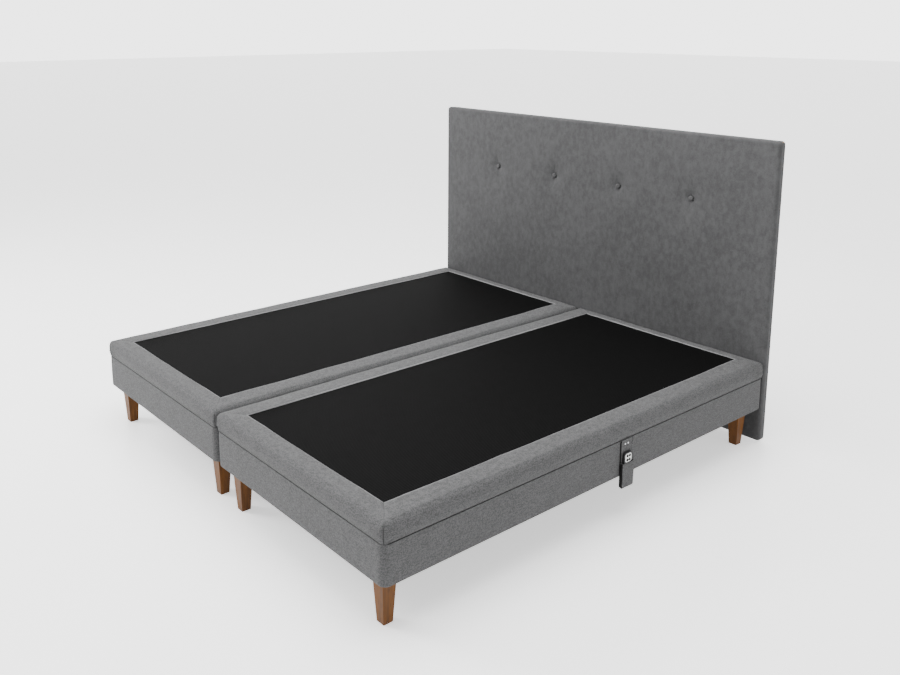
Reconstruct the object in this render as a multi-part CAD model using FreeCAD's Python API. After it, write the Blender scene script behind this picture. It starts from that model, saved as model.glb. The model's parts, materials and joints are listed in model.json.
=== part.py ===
import FreeCAD, Part

import math
import os

Vector = FreeCAD.Vector

os.makedirs("parts", exist_ok=True)

# ------------------------------------------------------------------ driving sizes, mm and degrees
# The code works in one frame: x across the bed, y from the foot end towards the head, z up from
# the floor, with x = 0 midway between the two units. save() moves each piece along y, so that
# the origin of the finished parts lies on the floor under the middle of the whole bed.

UNIT_WIDTH = 1000.0
UNIT_LENGTH = 2000.0
UNIT_GAP = 12.0
CORNER_RADIUS = 28.0

LEG_HEIGHT = 165.0
LEG_TOP = 55.0
LEG_FOOT = 36.0
LEG_EDGE_RADIUS = 2.0
LEG_INSET_X = 75.0
LEG_INSET_Y = 60.5

BOX_HEIGHT = 135.0
SEAM_GAP = 3.5
DECK_HEIGHT = 66.5

COVER_THICKNESS = 3.0
DUST_CLOTH = 1.5
RAIL_THICKNESS = 20.0
RAIL_DROP = 1.0
BLOCK_X = 110.0
BLOCK_Y = 96.0

STUD_RADIUS = 4.0
STUD_CLEARANCE = 0.3
STUD_IN_LEG = 32.0
STUD_IN_BLOCK = 48.0

CALF_LENGTH = 600.0
THIGH_LENGTH = 400.0
SEAT_LENGTH = 240.0
BACK_ANGLE = 60.0
THIGH_ANGLE = 30.0
CALF_RATIO = -1.5

PANEL_THICKNESS = 17.0
PANEL_INSET = 25.0
HINGE_HEIGHT_IN_DECK = 5.5
HINGE_CLEAR = 20.0
BACK_FOLD_TOP = 38.0
KNEE_CLEAR = 3.0
KNEE_DROP = 6.5

TUBE_RADIUS = 12.0
TUBE_WALL = 2.5
RUNNING_CLEARANCE = 0.05
EAR_RADIUS = 17.0

ARM_WIDTH = 30.0
ARM_THICKNESS = 8.0
ARM_X = 300.0
BACK_ARM_LENGTH = 560.0
THIGH_ARM_LENGTH = 345.0

PLATE_INSET = 46.8
PLATE_THICKNESS = 6.0
PLATE_DEPTH = 39.0
PLATE_DROP = 9.5
PLATE_END = 110.0
BEAM_WIDTH = 30.0
BEAM_HEIGHT = 30.0
BEAM_WALL = 2.0
SEAT_BEAM_HEIGHT = 20.0
SEAT_BEAM_INSET = 50.0

LEVER_LENGTH = 80.0
LEVER_THICKNESS = 10.0
LEVER_HALF_WIDTH = 6.0
LEVER_TIP_RADIUS = 11.0
LEVER_X = 25.0

DRIVE_WIDTH = 120.0
DRIVE_HEIGHT = 93.0
DRIVE_AXIS_DROP = 73.0
DRIVE_EDGE = 12.0
PUSHER_THICKNESS = 15.0
PUSHER_ABOVE_AXIS = 6.0
PUSHER_BELOW_AXIS = 20.0
PUSHER_WIDTH = 30.0
PUSHER_GAP = 1.2
PUSHER_STAND_OFF = 1.0
ROD_SIDE = 20.0
ROD_CLEARANCE = 0.4
ROD_GUIDED = 30.0
BORE_SPARE = 6.0
MOTOR_RADIUS = 28.0
MOTOR_LENGTH = 95.0
MOTOR_FLANGE = 4.0
MOTOR_FLANGE_LENGTH = 12.0
MOTOR_FLANGE_HEIGHT = 33.6

CONTROL_X = -270.0
CONTROL_SIZE = (120.0, 110.0, 38.0)
CONTROL_EDGE = 4.0
INLET_SIZE = (24.0, 12.0, 14.0)
INLET_CORNER = 4.8

LINK_ON_CALF = 200.0
LINK_DROP = 13.5
LINK_HALF_HEIGHT = 10.0
LINK_THICKNESS = 8.0
LINK_TO_PLATE = 8.0
LINK_PIN_RADIUS = 5.0
LINK_PIVOT_RADIUS = 6.0
LINK_SPACER_RADIUS = 9.0
LINK_SIDE_GAP = 0.5
LINK_PIN_END = 2.0
LINK_SLOT_TRAVEL = 4.0
LINK_SLOT_CLEARANCE = 1.8
BRACKET_TO_LINK = 6.0
BRACKET_THICKNESS = 5.0
BRACKET_WALL = 6.0

KNEE_LEAF_X = 180.0
KNEE_LEAF_WIDTH = 70.0
KNEE_LEAF_LENGTH = 42.0
KNEE_LEAF_THICKNESS = 3.0
KNUCKLE_RADIUS = 6.0
KNEE_PIN_RADIUS = 3.0
KNUCKLE_GAP = 0.5

HEADBOARD_GAP = 4.0
HEADBOARD_WIDTH = 2008.0
HEADBOARD_TOP = 1292.0
HEADBOARD_BOTTOM = 10.0
HEADBOARD_PAD = 22.0
HEADBOARD_BOARD = 16.0
HEADBOARD_BOARD_INSET = 4.0
HEADBOARD_CORNER = 14.0
HEADBOARD_EDGE = 10.0
BUTTON_COUNT = 4
BUTTON_PITCH = 400.0
BUTTON_HEIGHT = 1003.0
BUTTON_RADIUS = 12.5
BUTTON_DOME = 18.0
BUTTON_RIM = 2.0
DIMPLE_RADIUS = 16.0
DIMPLE_DEPTH = 9.0

HANGER_X = 250.0
HANGER_HEIGHT = 70.0
HANGER_WIDTH = 60.0
HANGER_THICKNESS = 3.4
HANGER_CORNER = 8.0
HANGER_ABOVE_BOX = 70.0
BOLT_HEAD_RADIUS = 8.0
BOLT_HEAD_LENGTH = 5.0
BOLT_IN_BOARD = 11.0
BOLT_HOLE_SPARE = 1.0

POUCH_Y = 1091.5
POUCH_WIDTH = 66.0
POUCH_BOTTOM = 122.0
POUCH_STAND_OFF = 0.6
POUCH_BOARD = 3.0
POUCH_TAB = 2.3
POUCH_TAB_LENGTH = 22.0
POUCH_CORNER = 6.0
POCKET_TOP = 217.0
POCKET_DEPTH = 11.0
POCKET_WALL = 2.0
RIVET_RADIUS = 3.0
RIVET_HEIGHT = 0.7
RIVET_DROP = 15.0
RIVET_PITCH = 16.0

REMOTE_WIDTH = 45.0
REMOTE_HEIGHT = 130.0
REMOTE_THICKNESS = 9.0
REMOTE_CORNER = 9.0
REMOTE_REST_GAP = 0.6
FACE_WIDTH = 34.0
FACE_HEIGHT = 32.0
FACE_THICKNESS = 1.6
FACE_PROUD = 0.4
FACE_CORNER = 9.0
FACE_MARGIN = 4.0
KEY_RADIUS = 5.0
KEY_CLEARANCE = 0.5
KEY_PROUD = 1.6
KEY_LENGTH = 6.5
KEY_TRAVEL = 1.0
KEY_PITCH_Y = 13.0
KEY_PITCH_Z = 15.5

# How near an edge's middle has to be to a face, to be picked as one of that face's edges.
PICK = 1.0

# ------------------------------------------------------------------ sizes that follow

BOX_BOTTOM = LEG_HEIGHT
BOX_TOP = BOX_BOTTOM + BOX_HEIGHT
DECK_BOTTOM = BOX_TOP + SEAM_GAP
DECK_TOP = DECK_BOTTOM + DECK_HEIGHT
PANEL_TOP = DECK_BOTTOM + PANEL_THICKNESS
HALF_UNIT = UNIT_WIDTH / 2
UNIT_OFFSET = (UNIT_WIDTH + UNIT_GAP) / 2
OUTER_SIDE = UNIT_OFFSET + HALF_UNIT

HINGE_Z = DECK_BOTTOM + HINGE_HEIGHT_IN_DECK
KNEE_Y = CALF_LENGTH
KNEE_Z = DECK_BOTTOM - KNEE_DROP
THIGH_Y = CALF_LENGTH + THIGH_LENGTH
BACK_Y = THIGH_Y + SEAT_LENGTH

WOOD_BOTTOM = BOX_BOTTOM + DUST_CLOTH
WOOD_TOP = BOX_TOP - RAIL_DROP
RAIL_IN = COVER_THICKNESS + RAIL_THICKNESS
PLATE_X = HALF_UNIT - RAIL_IN - PLATE_INSET
LINK_X = PLATE_X - LINK_TO_PLATE - LINK_THICKNESS
BRACKET_X = LINK_X - BRACKET_TO_LINK - BRACKET_THICKNESS

PLATE_TOP = DECK_BOTTOM - PLATE_DROP
PLATE_BOTTOM = PLATE_TOP - PLATE_DEPTH
SEAT_BEAM_BOTTOM = DECK_BOTTOM - SEAT_BEAM_HEIGHT
DRIVE_TOP = SEAT_BEAM_BOTTOM
DRIVE_AXIS = HINGE_Z - DRIVE_AXIS_DROP

HEADBOARD_FRONT = UNIT_LENGTH + HEADBOARD_GAP
BOARD_FRONT = HEADBOARD_FRONT + HEADBOARD_PAD
HEADBOARD_BACK = BOARD_FRONT + HEADBOARD_BOARD
HANGER_Z = BOX_BOTTOM + HANGER_ABOVE_BOX
CENTRE_Y = HEADBOARD_BACK / 2


# ------------------------------------------------------------------ small makers

def block(x0, x1, y0, y1, z0, z1):
    """A box between two corners."""
    return Part.makeBox(x1 - x0, y1 - y0, z1 - z0, Vector(x0, y0, z0))


def rod_x(radius, x0, x1, y, z):
    """A round bar along x."""
    return Part.makeCylinder(radius, x1 - x0, Vector(x0, y, z), Vector(1, 0, 0))


def rod_y(radius, x, y0, y1, z):
    """A round bar along y."""
    return Part.makeCylinder(radius, y1 - y0, Vector(x, y0, z), Vector(0, 1, 0))


def rod_z(radius, x, y, z0, z1):
    """A round bar along z."""
    return Part.makeCylinder(radius, z1 - z0, Vector(x, y, z0), Vector(0, 0, 1))


def tube_x(radius, wall, x0, x1, y, z):
    """A round tube along x."""
    return rod_x(radius, x0, x1, y, z).cut(rod_x(radius - wall, x0, x1, y, z))


def beam_x(x0, x1, y0, y1, z0, z1, wall):
    """A rectangular steel tube along x."""
    inside = block(x0, x1, y0 + wall, y1 - wall, z0 + wall, z1 - wall)
    return block(x0, x1, y0, y1, z0, z1).cut(inside)


def prism_x(outline, x0, x1):
    """A straight-sided solid: an outline of (y, z) points, drawn along x."""
    points = [Vector(x0, y, z) for y, z in outline]
    wire = Part.makePolygon(points + points[:1])
    return Part.Face(wire).extrude(Vector(x1 - x0, 0, 0))


def along(edge, axis):
    """True where a straight edge runs along the axis 0, 1 or 2."""
    if edge.Curve.TypeId != "Part::GeomLine":
        return False
    return abs(abs(edge.Curve.Direction[axis]) - 1) < 1e-6


def rounded(shape, radius, axis, wanted=None):
    """The shape with its edges along one axis rounded, or only those that wanted() picks."""
    edges = [e for e in shape.Edges if along(e, axis)]
    if wanted:
        edges = [e for e in edges if wanted(e.CenterOfMass)]
    return shape.makeFillet(radius, edges)


def mirrored(shape):
    """The same piece on the other side of x = 0."""
    return shape.mirror(Vector(0, 0, 0), Vector(1, 0, 0))


def both_sides(shapes):
    """A list of pieces, and their mirror images across x = 0."""
    return shapes + [mirrored(s) for s in shapes]


def moved(shape, x=0.0, y=0.0, z=0.0):
    """A copy of the shape, moved."""
    copy = shape.copy()
    copy.translate(Vector(x, y, z))
    return copy


def save(name, solids):
    """Write one node: a single solid, or a group of separate solids."""
    group = solids if isinstance(solids, list) else [solids]
    group = [moved(s, y=-CENTRE_Y) for s in group]
    shape = group[0] if len(group) == 1 else Part.makeCompound(group)
    shape.exportStep(f"parts/{name}.step")


def turned(point, centre, degrees):
    """A (y, z) point turned about a centre; positive lifts what lies towards the foot."""
    a = -math.radians(degrees)
    y = point[0] - centre[0]
    z = point[1] - centre[1]
    turned_y = y * math.cos(a) - z * math.sin(a)
    turned_z = y * math.sin(a) + z * math.cos(a)
    return (centre[0] + turned_y, centre[1] + turned_z)


def circle_centre(a, b, c):
    """The centre of the circle through three (y, z) points."""
    ab = (b[0] - a[0], b[1] - a[1])
    ac = (c[0] - a[0], c[1] - a[1])
    ab2 = ab[0] ** 2 + ab[1] ** 2
    ac2 = ac[0] ** 2 + ac[1] ** 2
    twice = 2 * (ab[0] * ac[1] - ab[1] * ac[0])
    y = (ac[1] * ab2 - ab[1] * ac2) / twice
    z = (ab[0] * ac2 - ac[0] * ab2) / twice
    return (a[0] + y, a[1] + z)


# ------------------------------------------------------------------ the upholstered box of a unit

def box_outline(inset, z0, z1):
    """The box's plan with rounded corners, set in by a wall, as a solid between two heights."""
    side = HALF_UNIT - inset
    plan = block(-side, side, inset, UNIT_LENGTH - inset, z0, z1)
    return rounded(plan, CORNER_RADIUS - inset, 2)


def hanger_places():
    """The x places of the headboard's bolts on one unit."""
    return [-HANGER_X, HANGER_X]


def hanger_holes(y0, y1):
    """Clearance holes for the headboard's bolts on one unit."""
    radius = STUD_RADIUS + STUD_CLEARANCE
    return [rod_y(radius, x, y0, y1, HANGER_Z) for x in hanger_places()]


def box_cover():
    """The fabric round the box: a ring with rounded corners."""
    ring = box_outline(0.0, BOX_BOTTOM, BOX_TOP)
    ring = ring.cut(box_outline(COVER_THICKNESS, BOX_BOTTOM, BOX_TOP))
    return ring.cut(hanger_holes(UNIT_LENGTH - RAIL_IN, UNIT_LENGTH))


def side_rails():
    """The two long rails."""
    outer = HALF_UNIT - COVER_THICKNESS
    inner = HALF_UNIT - RAIL_IN
    rail = block(inner, outer, CORNER_RADIUS, UNIT_LENGTH - CORNER_RADIUS, WOOD_BOTTOM, WOOD_TOP)
    return both_sides([rail])


def end_rails():
    """The foot rail and the head rail, which has the headboard's holes."""
    half = HALF_UNIT - CORNER_RADIUS
    foot = block(-half, half, COVER_THICKNESS, RAIL_IN, WOOD_BOTTOM, WOOD_TOP)
    head = moved(foot, y=UNIT_LENGTH - COVER_THICKNESS - RAIL_IN)
    return [foot, head.cut(hanger_holes(UNIT_LENGTH - RAIL_IN, UNIT_LENGTH))]


def leg_places():
    """The (x, y) centres of one unit's legs."""
    x = HALF_UNIT - LEG_INSET_X
    return [(sx * x, y) for sx in (-1, 1) for y in (LEG_INSET_Y, UNIT_LENGTH - LEG_INSET_Y)]


def corner_blocks():
    """The four wooden blocks that join the rails and carry the legs."""
    outline = box_outline(COVER_THICKNESS, WOOD_BOTTOM, WOOD_TOP)
    x1 = HALF_UNIT - COVER_THICKNESS
    y0 = COVER_THICKNESS
    foot = block(x1 - BLOCK_X, x1, y0, y0 + BLOCK_Y, WOOD_BOTTOM, WOOD_TOP)
    foot = foot.common(outline).cut(side_rails() + end_rails())
    hole_top = WOOD_BOTTOM + STUD_IN_BLOCK
    radius = STUD_RADIUS + STUD_CLEARANCE
    foot = foot.cut(rod_z(radius, HALF_UNIT - LEG_INSET_X, LEG_INSET_Y, WOOD_BOTTOM, hole_top))
    head = foot.mirror(Vector(0, UNIT_LENGTH / 2, 0), Vector(0, 1, 0))
    return both_sides([foot, head])


def dust_cloth():
    """The thin cloth under the box, with a hole for each leg's stud."""
    sheet = box_outline(COVER_THICKNESS, BOX_BOTTOM, BOX_BOTTOM + DUST_CLOTH)
    radius = STUD_RADIUS + STUD_CLEARANCE
    top = BOX_BOTTOM + DUST_CLOTH
    return sheet.cut([rod_z(radius, x, y, BOX_BOTTOM, top) for x, y in leg_places()])


def square_wire(side, z):
    """A square outline at a height."""
    h = side / 2
    corners = [Vector(x, y, z) for x, y in ((-h, -h), (h, -h), (h, h), (-h, h))]
    return Part.makePolygon(corners + corners[:1])


def leg():
    """One tapered square leg, with a blind hole for its stud."""
    body = Part.makeLoft([square_wire(LEG_FOOT, 0.0), square_wire(LEG_TOP, LEG_HEIGHT)], True, True)
    slanted = [e for e in body.Edges if e.Length > LEG_TOP + 1]
    body = body.makeFillet(LEG_EDGE_RADIUS, slanted)
    hole = rod_z(STUD_RADIUS + STUD_CLEARANCE, 0, 0, LEG_HEIGHT - STUD_IN_LEG, LEG_HEIGHT)
    return body.cut(hole)


def leg_stud():
    """The threaded stud between a leg and its block."""
    top = BOX_BOTTOM + DUST_CLOTH + STUD_IN_BLOCK - 1
    return rod_z(STUD_RADIUS, 0, 0, LEG_HEIGHT - STUD_IN_LEG + 1, top)


# ------------------------------------------------------------------ the deck of a unit

def section_panel(y0, y1, foot_end=False, head_end=False):
    """A section's wooden panel; an end of the bed stands back inside the padded rim."""
    half = HALF_UNIT - PANEL_INSET
    start = y0 + PANEL_INSET if foot_end else y0
    stop = y1 - PANEL_INSET if head_end else y1
    return block(-half, half, start, stop, DECK_BOTTOM, PANEL_TOP)


def section_pad(y0, y1, panel, top0=0.0, top1=0.0, foot_end=False, head_end=False):
    """A section's foam pad: over the panel, down its sides, and sloped back at a fold."""
    outline = [(y0, DECK_BOTTOM), (y1, DECK_BOTTOM), (y1, PANEL_TOP), (y1 - top1, DECK_TOP)]
    outline += [(y0 + top0, DECK_TOP), (y0, PANEL_TOP)]
    pad = prism_x(outline, -HALF_UNIT, HALF_UNIT)
    if foot_end:
        pad = rounded(pad, CORNER_RADIUS, 2, lambda c: c.y < y0 + PICK)
    if head_end:
        pad = rounded(pad, CORNER_RADIUS, 2, lambda c: c.y > y1 - PICK)
    return pad.cut(panel)


def hinge_tube(y):
    """A section's torque tube, which is also its hinge shaft."""
    half = PLATE_X + PLATE_THICKNESS + 2
    return tube_x(TUBE_RADIUS, TUBE_WALL, -half, half, y, HINGE_Z)


def lever(y, x, lean):
    """A flat lever down from a torque tube, with a round tip; lean is its angle from plumb."""
    lean_y = math.sin(math.radians(lean))
    lean_z = -math.cos(math.radians(lean))
    tip = (y + LEVER_LENGTH * lean_y, HINGE_Z + LEVER_LENGTH * lean_z)
    side_y = -lean_z * LEVER_HALF_WIDTH
    side_z = lean_y * LEVER_HALF_WIDTH
    outline = [(y + side_y, HINGE_Z + side_z), (tip[0] + side_y, tip[1] + side_z)]
    outline += [(tip[0] - side_y, tip[1] - side_z), (y - side_y, HINGE_Z - side_z)]
    x0 = x - LEVER_THICKNESS / 2
    x1 = x + LEVER_THICKNESS / 2
    arm = prism_x(outline, x0, x1).fuse(rod_x(LEVER_TIP_RADIUS, x0, x1, tip[0], tip[1]))
    return arm.cut(rod_x(TUBE_RADIUS, x0, x1, y, HINGE_Z)).removeSplitter()


def lift_arms(y, length, sign):
    """Two flat bars from a torque tube along the underside of its panel."""
    y1 = y + sign * length
    x0 = ARM_X - ARM_WIDTH / 2
    x1 = ARM_X + ARM_WIDTH / 2
    bar = block(x0, x1, min(y, y1), max(y, y1), DECK_BOTTOM - ARM_THICKNESS, DECK_BOTTOM)
    return both_sides([bar.cut(rod_x(TUBE_RADIUS, x0, x1, y, HINGE_Z))])


def back_frame():
    """The back section's torque tube, lift arms and lever."""
    lean = -BACK_ANGLE / 2
    return [hinge_tube(BACK_Y), lever(BACK_Y, LEVER_X, lean)] + lift_arms(BACK_Y, BACK_ARM_LENGTH, 1)


def knee_knuckles(which):
    """Hinge knuckles on the knee's pin: 0 for the thigh's outer pair, 1 for the calf's middle."""
    third = KNEE_LEAF_WIDTH / 3
    start = KNEE_LEAF_X - KNEE_LEAF_WIDTH / 2
    spans = [(0, third - KNUCKLE_GAP), (2 * third + KNUCKLE_GAP, 3 * third)]
    if which:
        spans = [(third, 2 * third)]
    pieces = []
    for a, b in spans:
        knuckle = rod_x(KNUCKLE_RADIUS, start + a, start + b, KNEE_Y, KNEE_Z)
        stay = block(start + a, start + b, KNEE_Y, KNEE_Y + KNUCKLE_RADIUS, KNEE_Z, DECK_BOTTOM)
        if which:
            stay = moved(stay, y=-KNUCKLE_RADIUS)
        pieces.append(knuckle.fuse(stay))
    return pieces


def knee_leaf(which):
    """A knee hinge's leaf with its knuckles; the thigh's leaf holds the pin."""
    x0 = KNEE_LEAF_X - KNEE_LEAF_WIDTH / 2
    x1 = KNEE_LEAF_X + KNEE_LEAF_WIDTH / 2
    near = KNUCKLE_RADIUS + KNUCKLE_GAP
    z0 = DECK_BOTTOM - KNEE_LEAF_THICKNESS
    if which:
        leaf = block(x0, x1, KNEE_Y - KNEE_LEAF_LENGTH, KNEE_Y - near, z0, DECK_BOTTOM)
    else:
        leaf = block(x0, x1, KNEE_Y + near, KNEE_Y + KNEE_LEAF_LENGTH, z0, DECK_BOTTOM)
    for knuckle in knee_knuckles(which):
        box = knuckle.BoundBox
        far = KNEE_Y - near if which else KNEE_Y + near
        close = KNEE_Y - KNEE_CLEAR if which else KNEE_Y + KNEE_CLEAR
        neck = block(box.XMin, box.XMax, min(far, close), max(far, close), z0, DECK_BOTTOM)
        leaf = leaf.fuse([knuckle, neck])
    leaf = leaf.cut(rod_x(bore_of(which), x0, x1, KNEE_Y, KNEE_Z))
    return leaf.removeSplitter()


def bore_of(which):
    """The radius of a knee leaf's bore: a running fit on the calf's, a tight one on the thigh's."""
    return KNEE_PIN_RADIUS + (RUNNING_CLEARANCE if which else 0.0)


def knee_pin():
    """The knee hinge's pin."""
    x0 = KNEE_LEAF_X - KNEE_LEAF_WIDTH / 2
    return rod_x(KNEE_PIN_RADIUS, x0, x0 + KNEE_LEAF_WIDTH, KNEE_Y, KNEE_Z)


def thigh_frame():
    """The thigh section's torque tube, lift arms, lever and knee leaves with their pins."""
    lean = THIGH_ANGLE / 2
    solids = [hinge_tube(THIGH_Y), lever(THIGH_Y, -LEVER_X, lean)]
    solids += lift_arms(THIGH_Y, THIGH_ARM_LENGTH, -1)
    return solids + both_sides([knee_leaf(0), knee_pin()])


# ------------------------------------------------------------------ the links that carry the calf

def link_pin_at(angle):
    """Where the calf carries its link's pin, (y, z), with the thigh at an angle."""
    hinge = (THIGH_Y, HINGE_Z)
    knee = turned((KNEE_Y, KNEE_Z), hinge, angle)
    pin = (KNEE_Y - LINK_ON_CALF, DECK_BOTTOM - LINK_DROP)
    offset = (pin[0] - KNEE_Y, pin[1] - KNEE_Z)
    return turned((knee[0] + offset[0], knee[1] + offset[1]), knee, angle * (1 + CALF_RATIO))


def link_pivot():
    """The fixed pivot of a calf link: the centre of the path of its pin."""
    return circle_centre(link_pin_at(0), link_pin_at(THIGH_ANGLE / 2), link_pin_at(THIGH_ANGLE))


def calf_link():
    """One swing link: a flat bar with a pivot in the hinge plate and a pin in the calf's slot."""
    pin = link_pin_at(0)
    pivot = link_pivot()
    x0 = LINK_X
    x1 = LINK_X + LINK_THICKNESS
    length = math.hypot(pivot[0] - pin[0], pivot[1] - pin[1])
    side_y = -(pivot[1] - pin[1]) / length * LINK_HALF_HEIGHT
    side_z = (pivot[0] - pin[0]) / length * LINK_HALF_HEIGHT
    outline = [(pin[0] + side_y, pin[1] + side_z), (pivot[0] + side_y, pivot[1] + side_z)]
    outline += [(pivot[0] - side_y, pivot[1] - side_z), (pin[0] - side_y, pin[1] - side_z)]
    bar = prism_x(outline, x0, x1)
    bar = bar.fuse([rod_x(LINK_HALF_HEIGHT, x0, x1, *pin), rod_x(LINK_HALF_HEIGHT, x0, x1, *pivot)])
    spacer = rod_x(LINK_SPACER_RADIUS, x1, PLATE_X - LINK_SIDE_GAP, *pivot)
    stub = rod_x(LINK_PIVOT_RADIUS, x1, PLATE_X + PLATE_THICKNESS + LINK_PIN_END, *pivot)
    end_pin = rod_x(LINK_PIN_RADIUS, BRACKET_X - LINK_PIN_END, x0, *pin)
    return bar.fuse([spacer, stub, end_pin]).removeSplitter()


def link_bracket():
    """The calf's slotted bracket for its link's pin."""
    pin = link_pin_at(0)
    half = LINK_PIN_RADIUS + LINK_SLOT_CLEARANCE
    wall = half + BRACKET_WALL
    x0 = BRACKET_X
    x1 = BRACKET_X + BRACKET_THICKNESS
    low = pin[1] - LINK_SLOT_TRAVEL
    high = pin[1] + LINK_SLOT_TRAVEL
    plate = block(x0, x1, pin[0] - wall, pin[0] + wall, low - wall, DECK_BOTTOM)
    slot = block(x0, x1, pin[0] - half, pin[0] + half, low, high)
    return plate.cut([slot, rod_x(half, x0, x1, pin[0], low), rod_x(half, x0, x1, pin[0], high)])


def calf_fittings():
    """The calf's knee leaves and link brackets."""
    return both_sides([knee_leaf(1), link_bracket()])


# ------------------------------------------------------------------ the chassis and the drive

def ear(y):
    """A bearing ear on the hinge plate, with the torque tube's bore."""
    x0 = PLATE_X
    x1 = PLATE_X + PLATE_THICKNESS
    base = block(x0, x1, y - EAR_RADIUS, y + EAR_RADIUS, PLATE_TOP, HINGE_Z)
    plate = base.fuse(rod_x(EAR_RADIUS, x0, x1, y, HINGE_Z)).removeSplitter()
    return plate.cut(rod_x(TUBE_RADIUS + RUNNING_CLEARANCE, x0, x1, y, HINGE_Z))


def hinge_plate():
    """The long plate on one side, with the bore of the calf link's pivot."""
    pivot = link_pivot()
    x0 = PLATE_X
    x1 = PLATE_X + PLATE_THICKNESS
    y0 = pivot[0] - BEAM_WIDTH
    plate = block(x0, x1, y0, BACK_Y + PLATE_END, PLATE_BOTTOM, PLATE_TOP)
    return plate.cut(rod_x(LINK_PIVOT_RADIUS + RUNNING_CLEARANCE, x0, x1, *pivot))


def seat_beam_places():
    """The y places of the two beams under the fixed seat."""
    return [THIGH_Y + SEAT_BEAM_INSET, BACK_Y - SEAT_BEAM_INSET]


def chassis():
    """Hinge plates and ears on both sides, seat beams, and the cross beams that carry them."""
    solids = both_sides([hinge_plate(), ear(THIGH_Y), ear(BACK_Y)])
    for y in seat_beam_places():
        y0 = y - BEAM_WIDTH / 2
        y1 = y0 + BEAM_WIDTH
        solids.append(beam_x(-PLATE_X, PLATE_X, y0, y1, SEAT_BEAM_BOTTOM, DECK_BOTTOM, BEAM_WALL))
    reach = HALF_UNIT - RAIL_IN
    starts = [link_pivot()[0] - BEAM_WIDTH, THIGH_Y - PLATE_END, BACK_Y + PLATE_END - BEAM_WIDTH]
    for y0 in starts:
        z0 = PLATE_BOTTOM - BEAM_HEIGHT
        solids.append(beam_x(-reach, reach, y0, y0 + BEAM_WIDTH, z0, PLATE_BOTTOM, BEAM_WALL))
    return solids


def push_travel(angle):
    """How far a lever's tip moves along y over its section's travel."""
    return 2 * LEVER_LENGTH * math.sin(math.radians(angle / 2))


def push_face(y, angle, sign):
    """Where a pusher's face stands at rest; sign is the way it pushes along y."""
    tip = y - sign * push_travel(angle) / 2
    return tip - sign * (LEVER_TIP_RADIUS + PUSHER_GAP)


def drive_end(y, angle, sign):
    """The drive housing's end face behind a pusher."""
    return push_face(y, angle, sign) - sign * (PUSHER_THICKNESS + PUSHER_STAND_OFF)


def push_rod(y, angle, sign, x):
    """A square rod with a flat pushing head."""
    face = push_face(y, angle, sign)
    back = face - sign * PUSHER_THICKNESS
    end = drive_end(y, angle, sign) - sign * (push_travel(angle) + ROD_GUIDED)
    half = PUSHER_WIDTH / 2
    z = DRIVE_AXIS
    z0 = z - PUSHER_BELOW_AXIS
    z1 = z + PUSHER_ABOVE_AXIS
    head = block(x - half, x + half, min(face, back), max(face, back), z0, z1)
    side = ROD_SIDE / 2
    rod = block(x - side, x + side, min(back, end), max(back, end), z - side, z + side)
    return head.fuse(rod).removeSplitter()


def drive_housing():
    """The twin drive's housing, with a blind square bore at each end."""
    y0 = drive_end(THIGH_Y, THIGH_ANGLE, -1)
    y1 = drive_end(BACK_Y, BACK_ANGLE, 1)
    half = DRIVE_WIDTH / 2
    body = block(-half, half, y0, y1, DRIVE_TOP - DRIVE_HEIGHT, DRIVE_TOP)
    body = rounded(body, DRIVE_EDGE, 1, lambda c: c.z < DRIVE_AXIS)
    side = ROD_SIDE / 2 + ROD_CLEARANCE
    z0 = DRIVE_AXIS - side
    z1 = DRIVE_AXIS + side
    back_depth = push_travel(BACK_ANGLE) + ROD_GUIDED + BORE_SPARE
    leg_depth = push_travel(THIGH_ANGLE) + ROD_GUIDED + BORE_SPARE
    back_bore = block(LEVER_X - side, LEVER_X + side, y1 - back_depth, y1, z0, z1)
    leg_bore = block(-LEVER_X - side, -LEVER_X + side, y0, y0 + leg_depth, z0, z1)
    return body.cut([back_bore, leg_bore])


def drive_motors():
    """The two motors, each on a flange at a side of the housing."""
    middle = (drive_end(THIGH_Y, THIGH_ANGLE, -1) + drive_end(BACK_Y, BACK_ANGLE, 1)) / 2
    y0 = middle - MOTOR_LENGTH / 2
    y1 = middle + MOTOR_LENGTH / 2
    x0 = DRIVE_WIDTH / 2
    x = x0 + MOTOR_FLANGE + MOTOR_RADIUS
    can = rod_y(MOTOR_RADIUS, x, y0, y1, DRIVE_AXIS)
    half = MOTOR_FLANGE_HEIGHT / 2
    flange = block(x0, x, y0, y0 + MOTOR_FLANGE_LENGTH, DRIVE_AXIS - half, DRIVE_AXIS + half)
    return both_sides([can.fuse(flange).removeSplitter()])


def control_box():
    """The control box under the seat beams, with the mains inlet in its end."""
    sx, sy, sz = CONTROL_SIZE
    y = (THIGH_Y + BACK_Y) / 2
    x0 = CONTROL_X - sx / 2
    box = block(x0, x0 + sx, y - sy / 2, y + sy / 2, DRIVE_TOP - sz, DRIVE_TOP)
    box = rounded(box, CONTROL_EDGE, 2)
    ix, iz, iy = INLET_SIZE
    z = DRIVE_TOP - sz / 2
    y1 = y + sy / 2
    inlet = block(CONTROL_X - ix / 2, CONTROL_X + ix / 2, y1 - iy, y1, z - iz / 2, z + iz / 2)
    return box.cut(rounded(inlet, INLET_CORNER, 1))


# ------------------------------------------------------------------ the headboard

def headboard_hanger_places():
    """The x places of all the headboard's bolts."""
    return [side * UNIT_OFFSET + x for side in (-1, 1) for x in hanger_places()]


def button_places():
    """The x places of the row of buttons."""
    first = -BUTTON_PITCH * (BUTTON_COUNT - 1) / 2
    return [first + BUTTON_PITCH * i for i in range(BUTTON_COUNT)]


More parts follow.
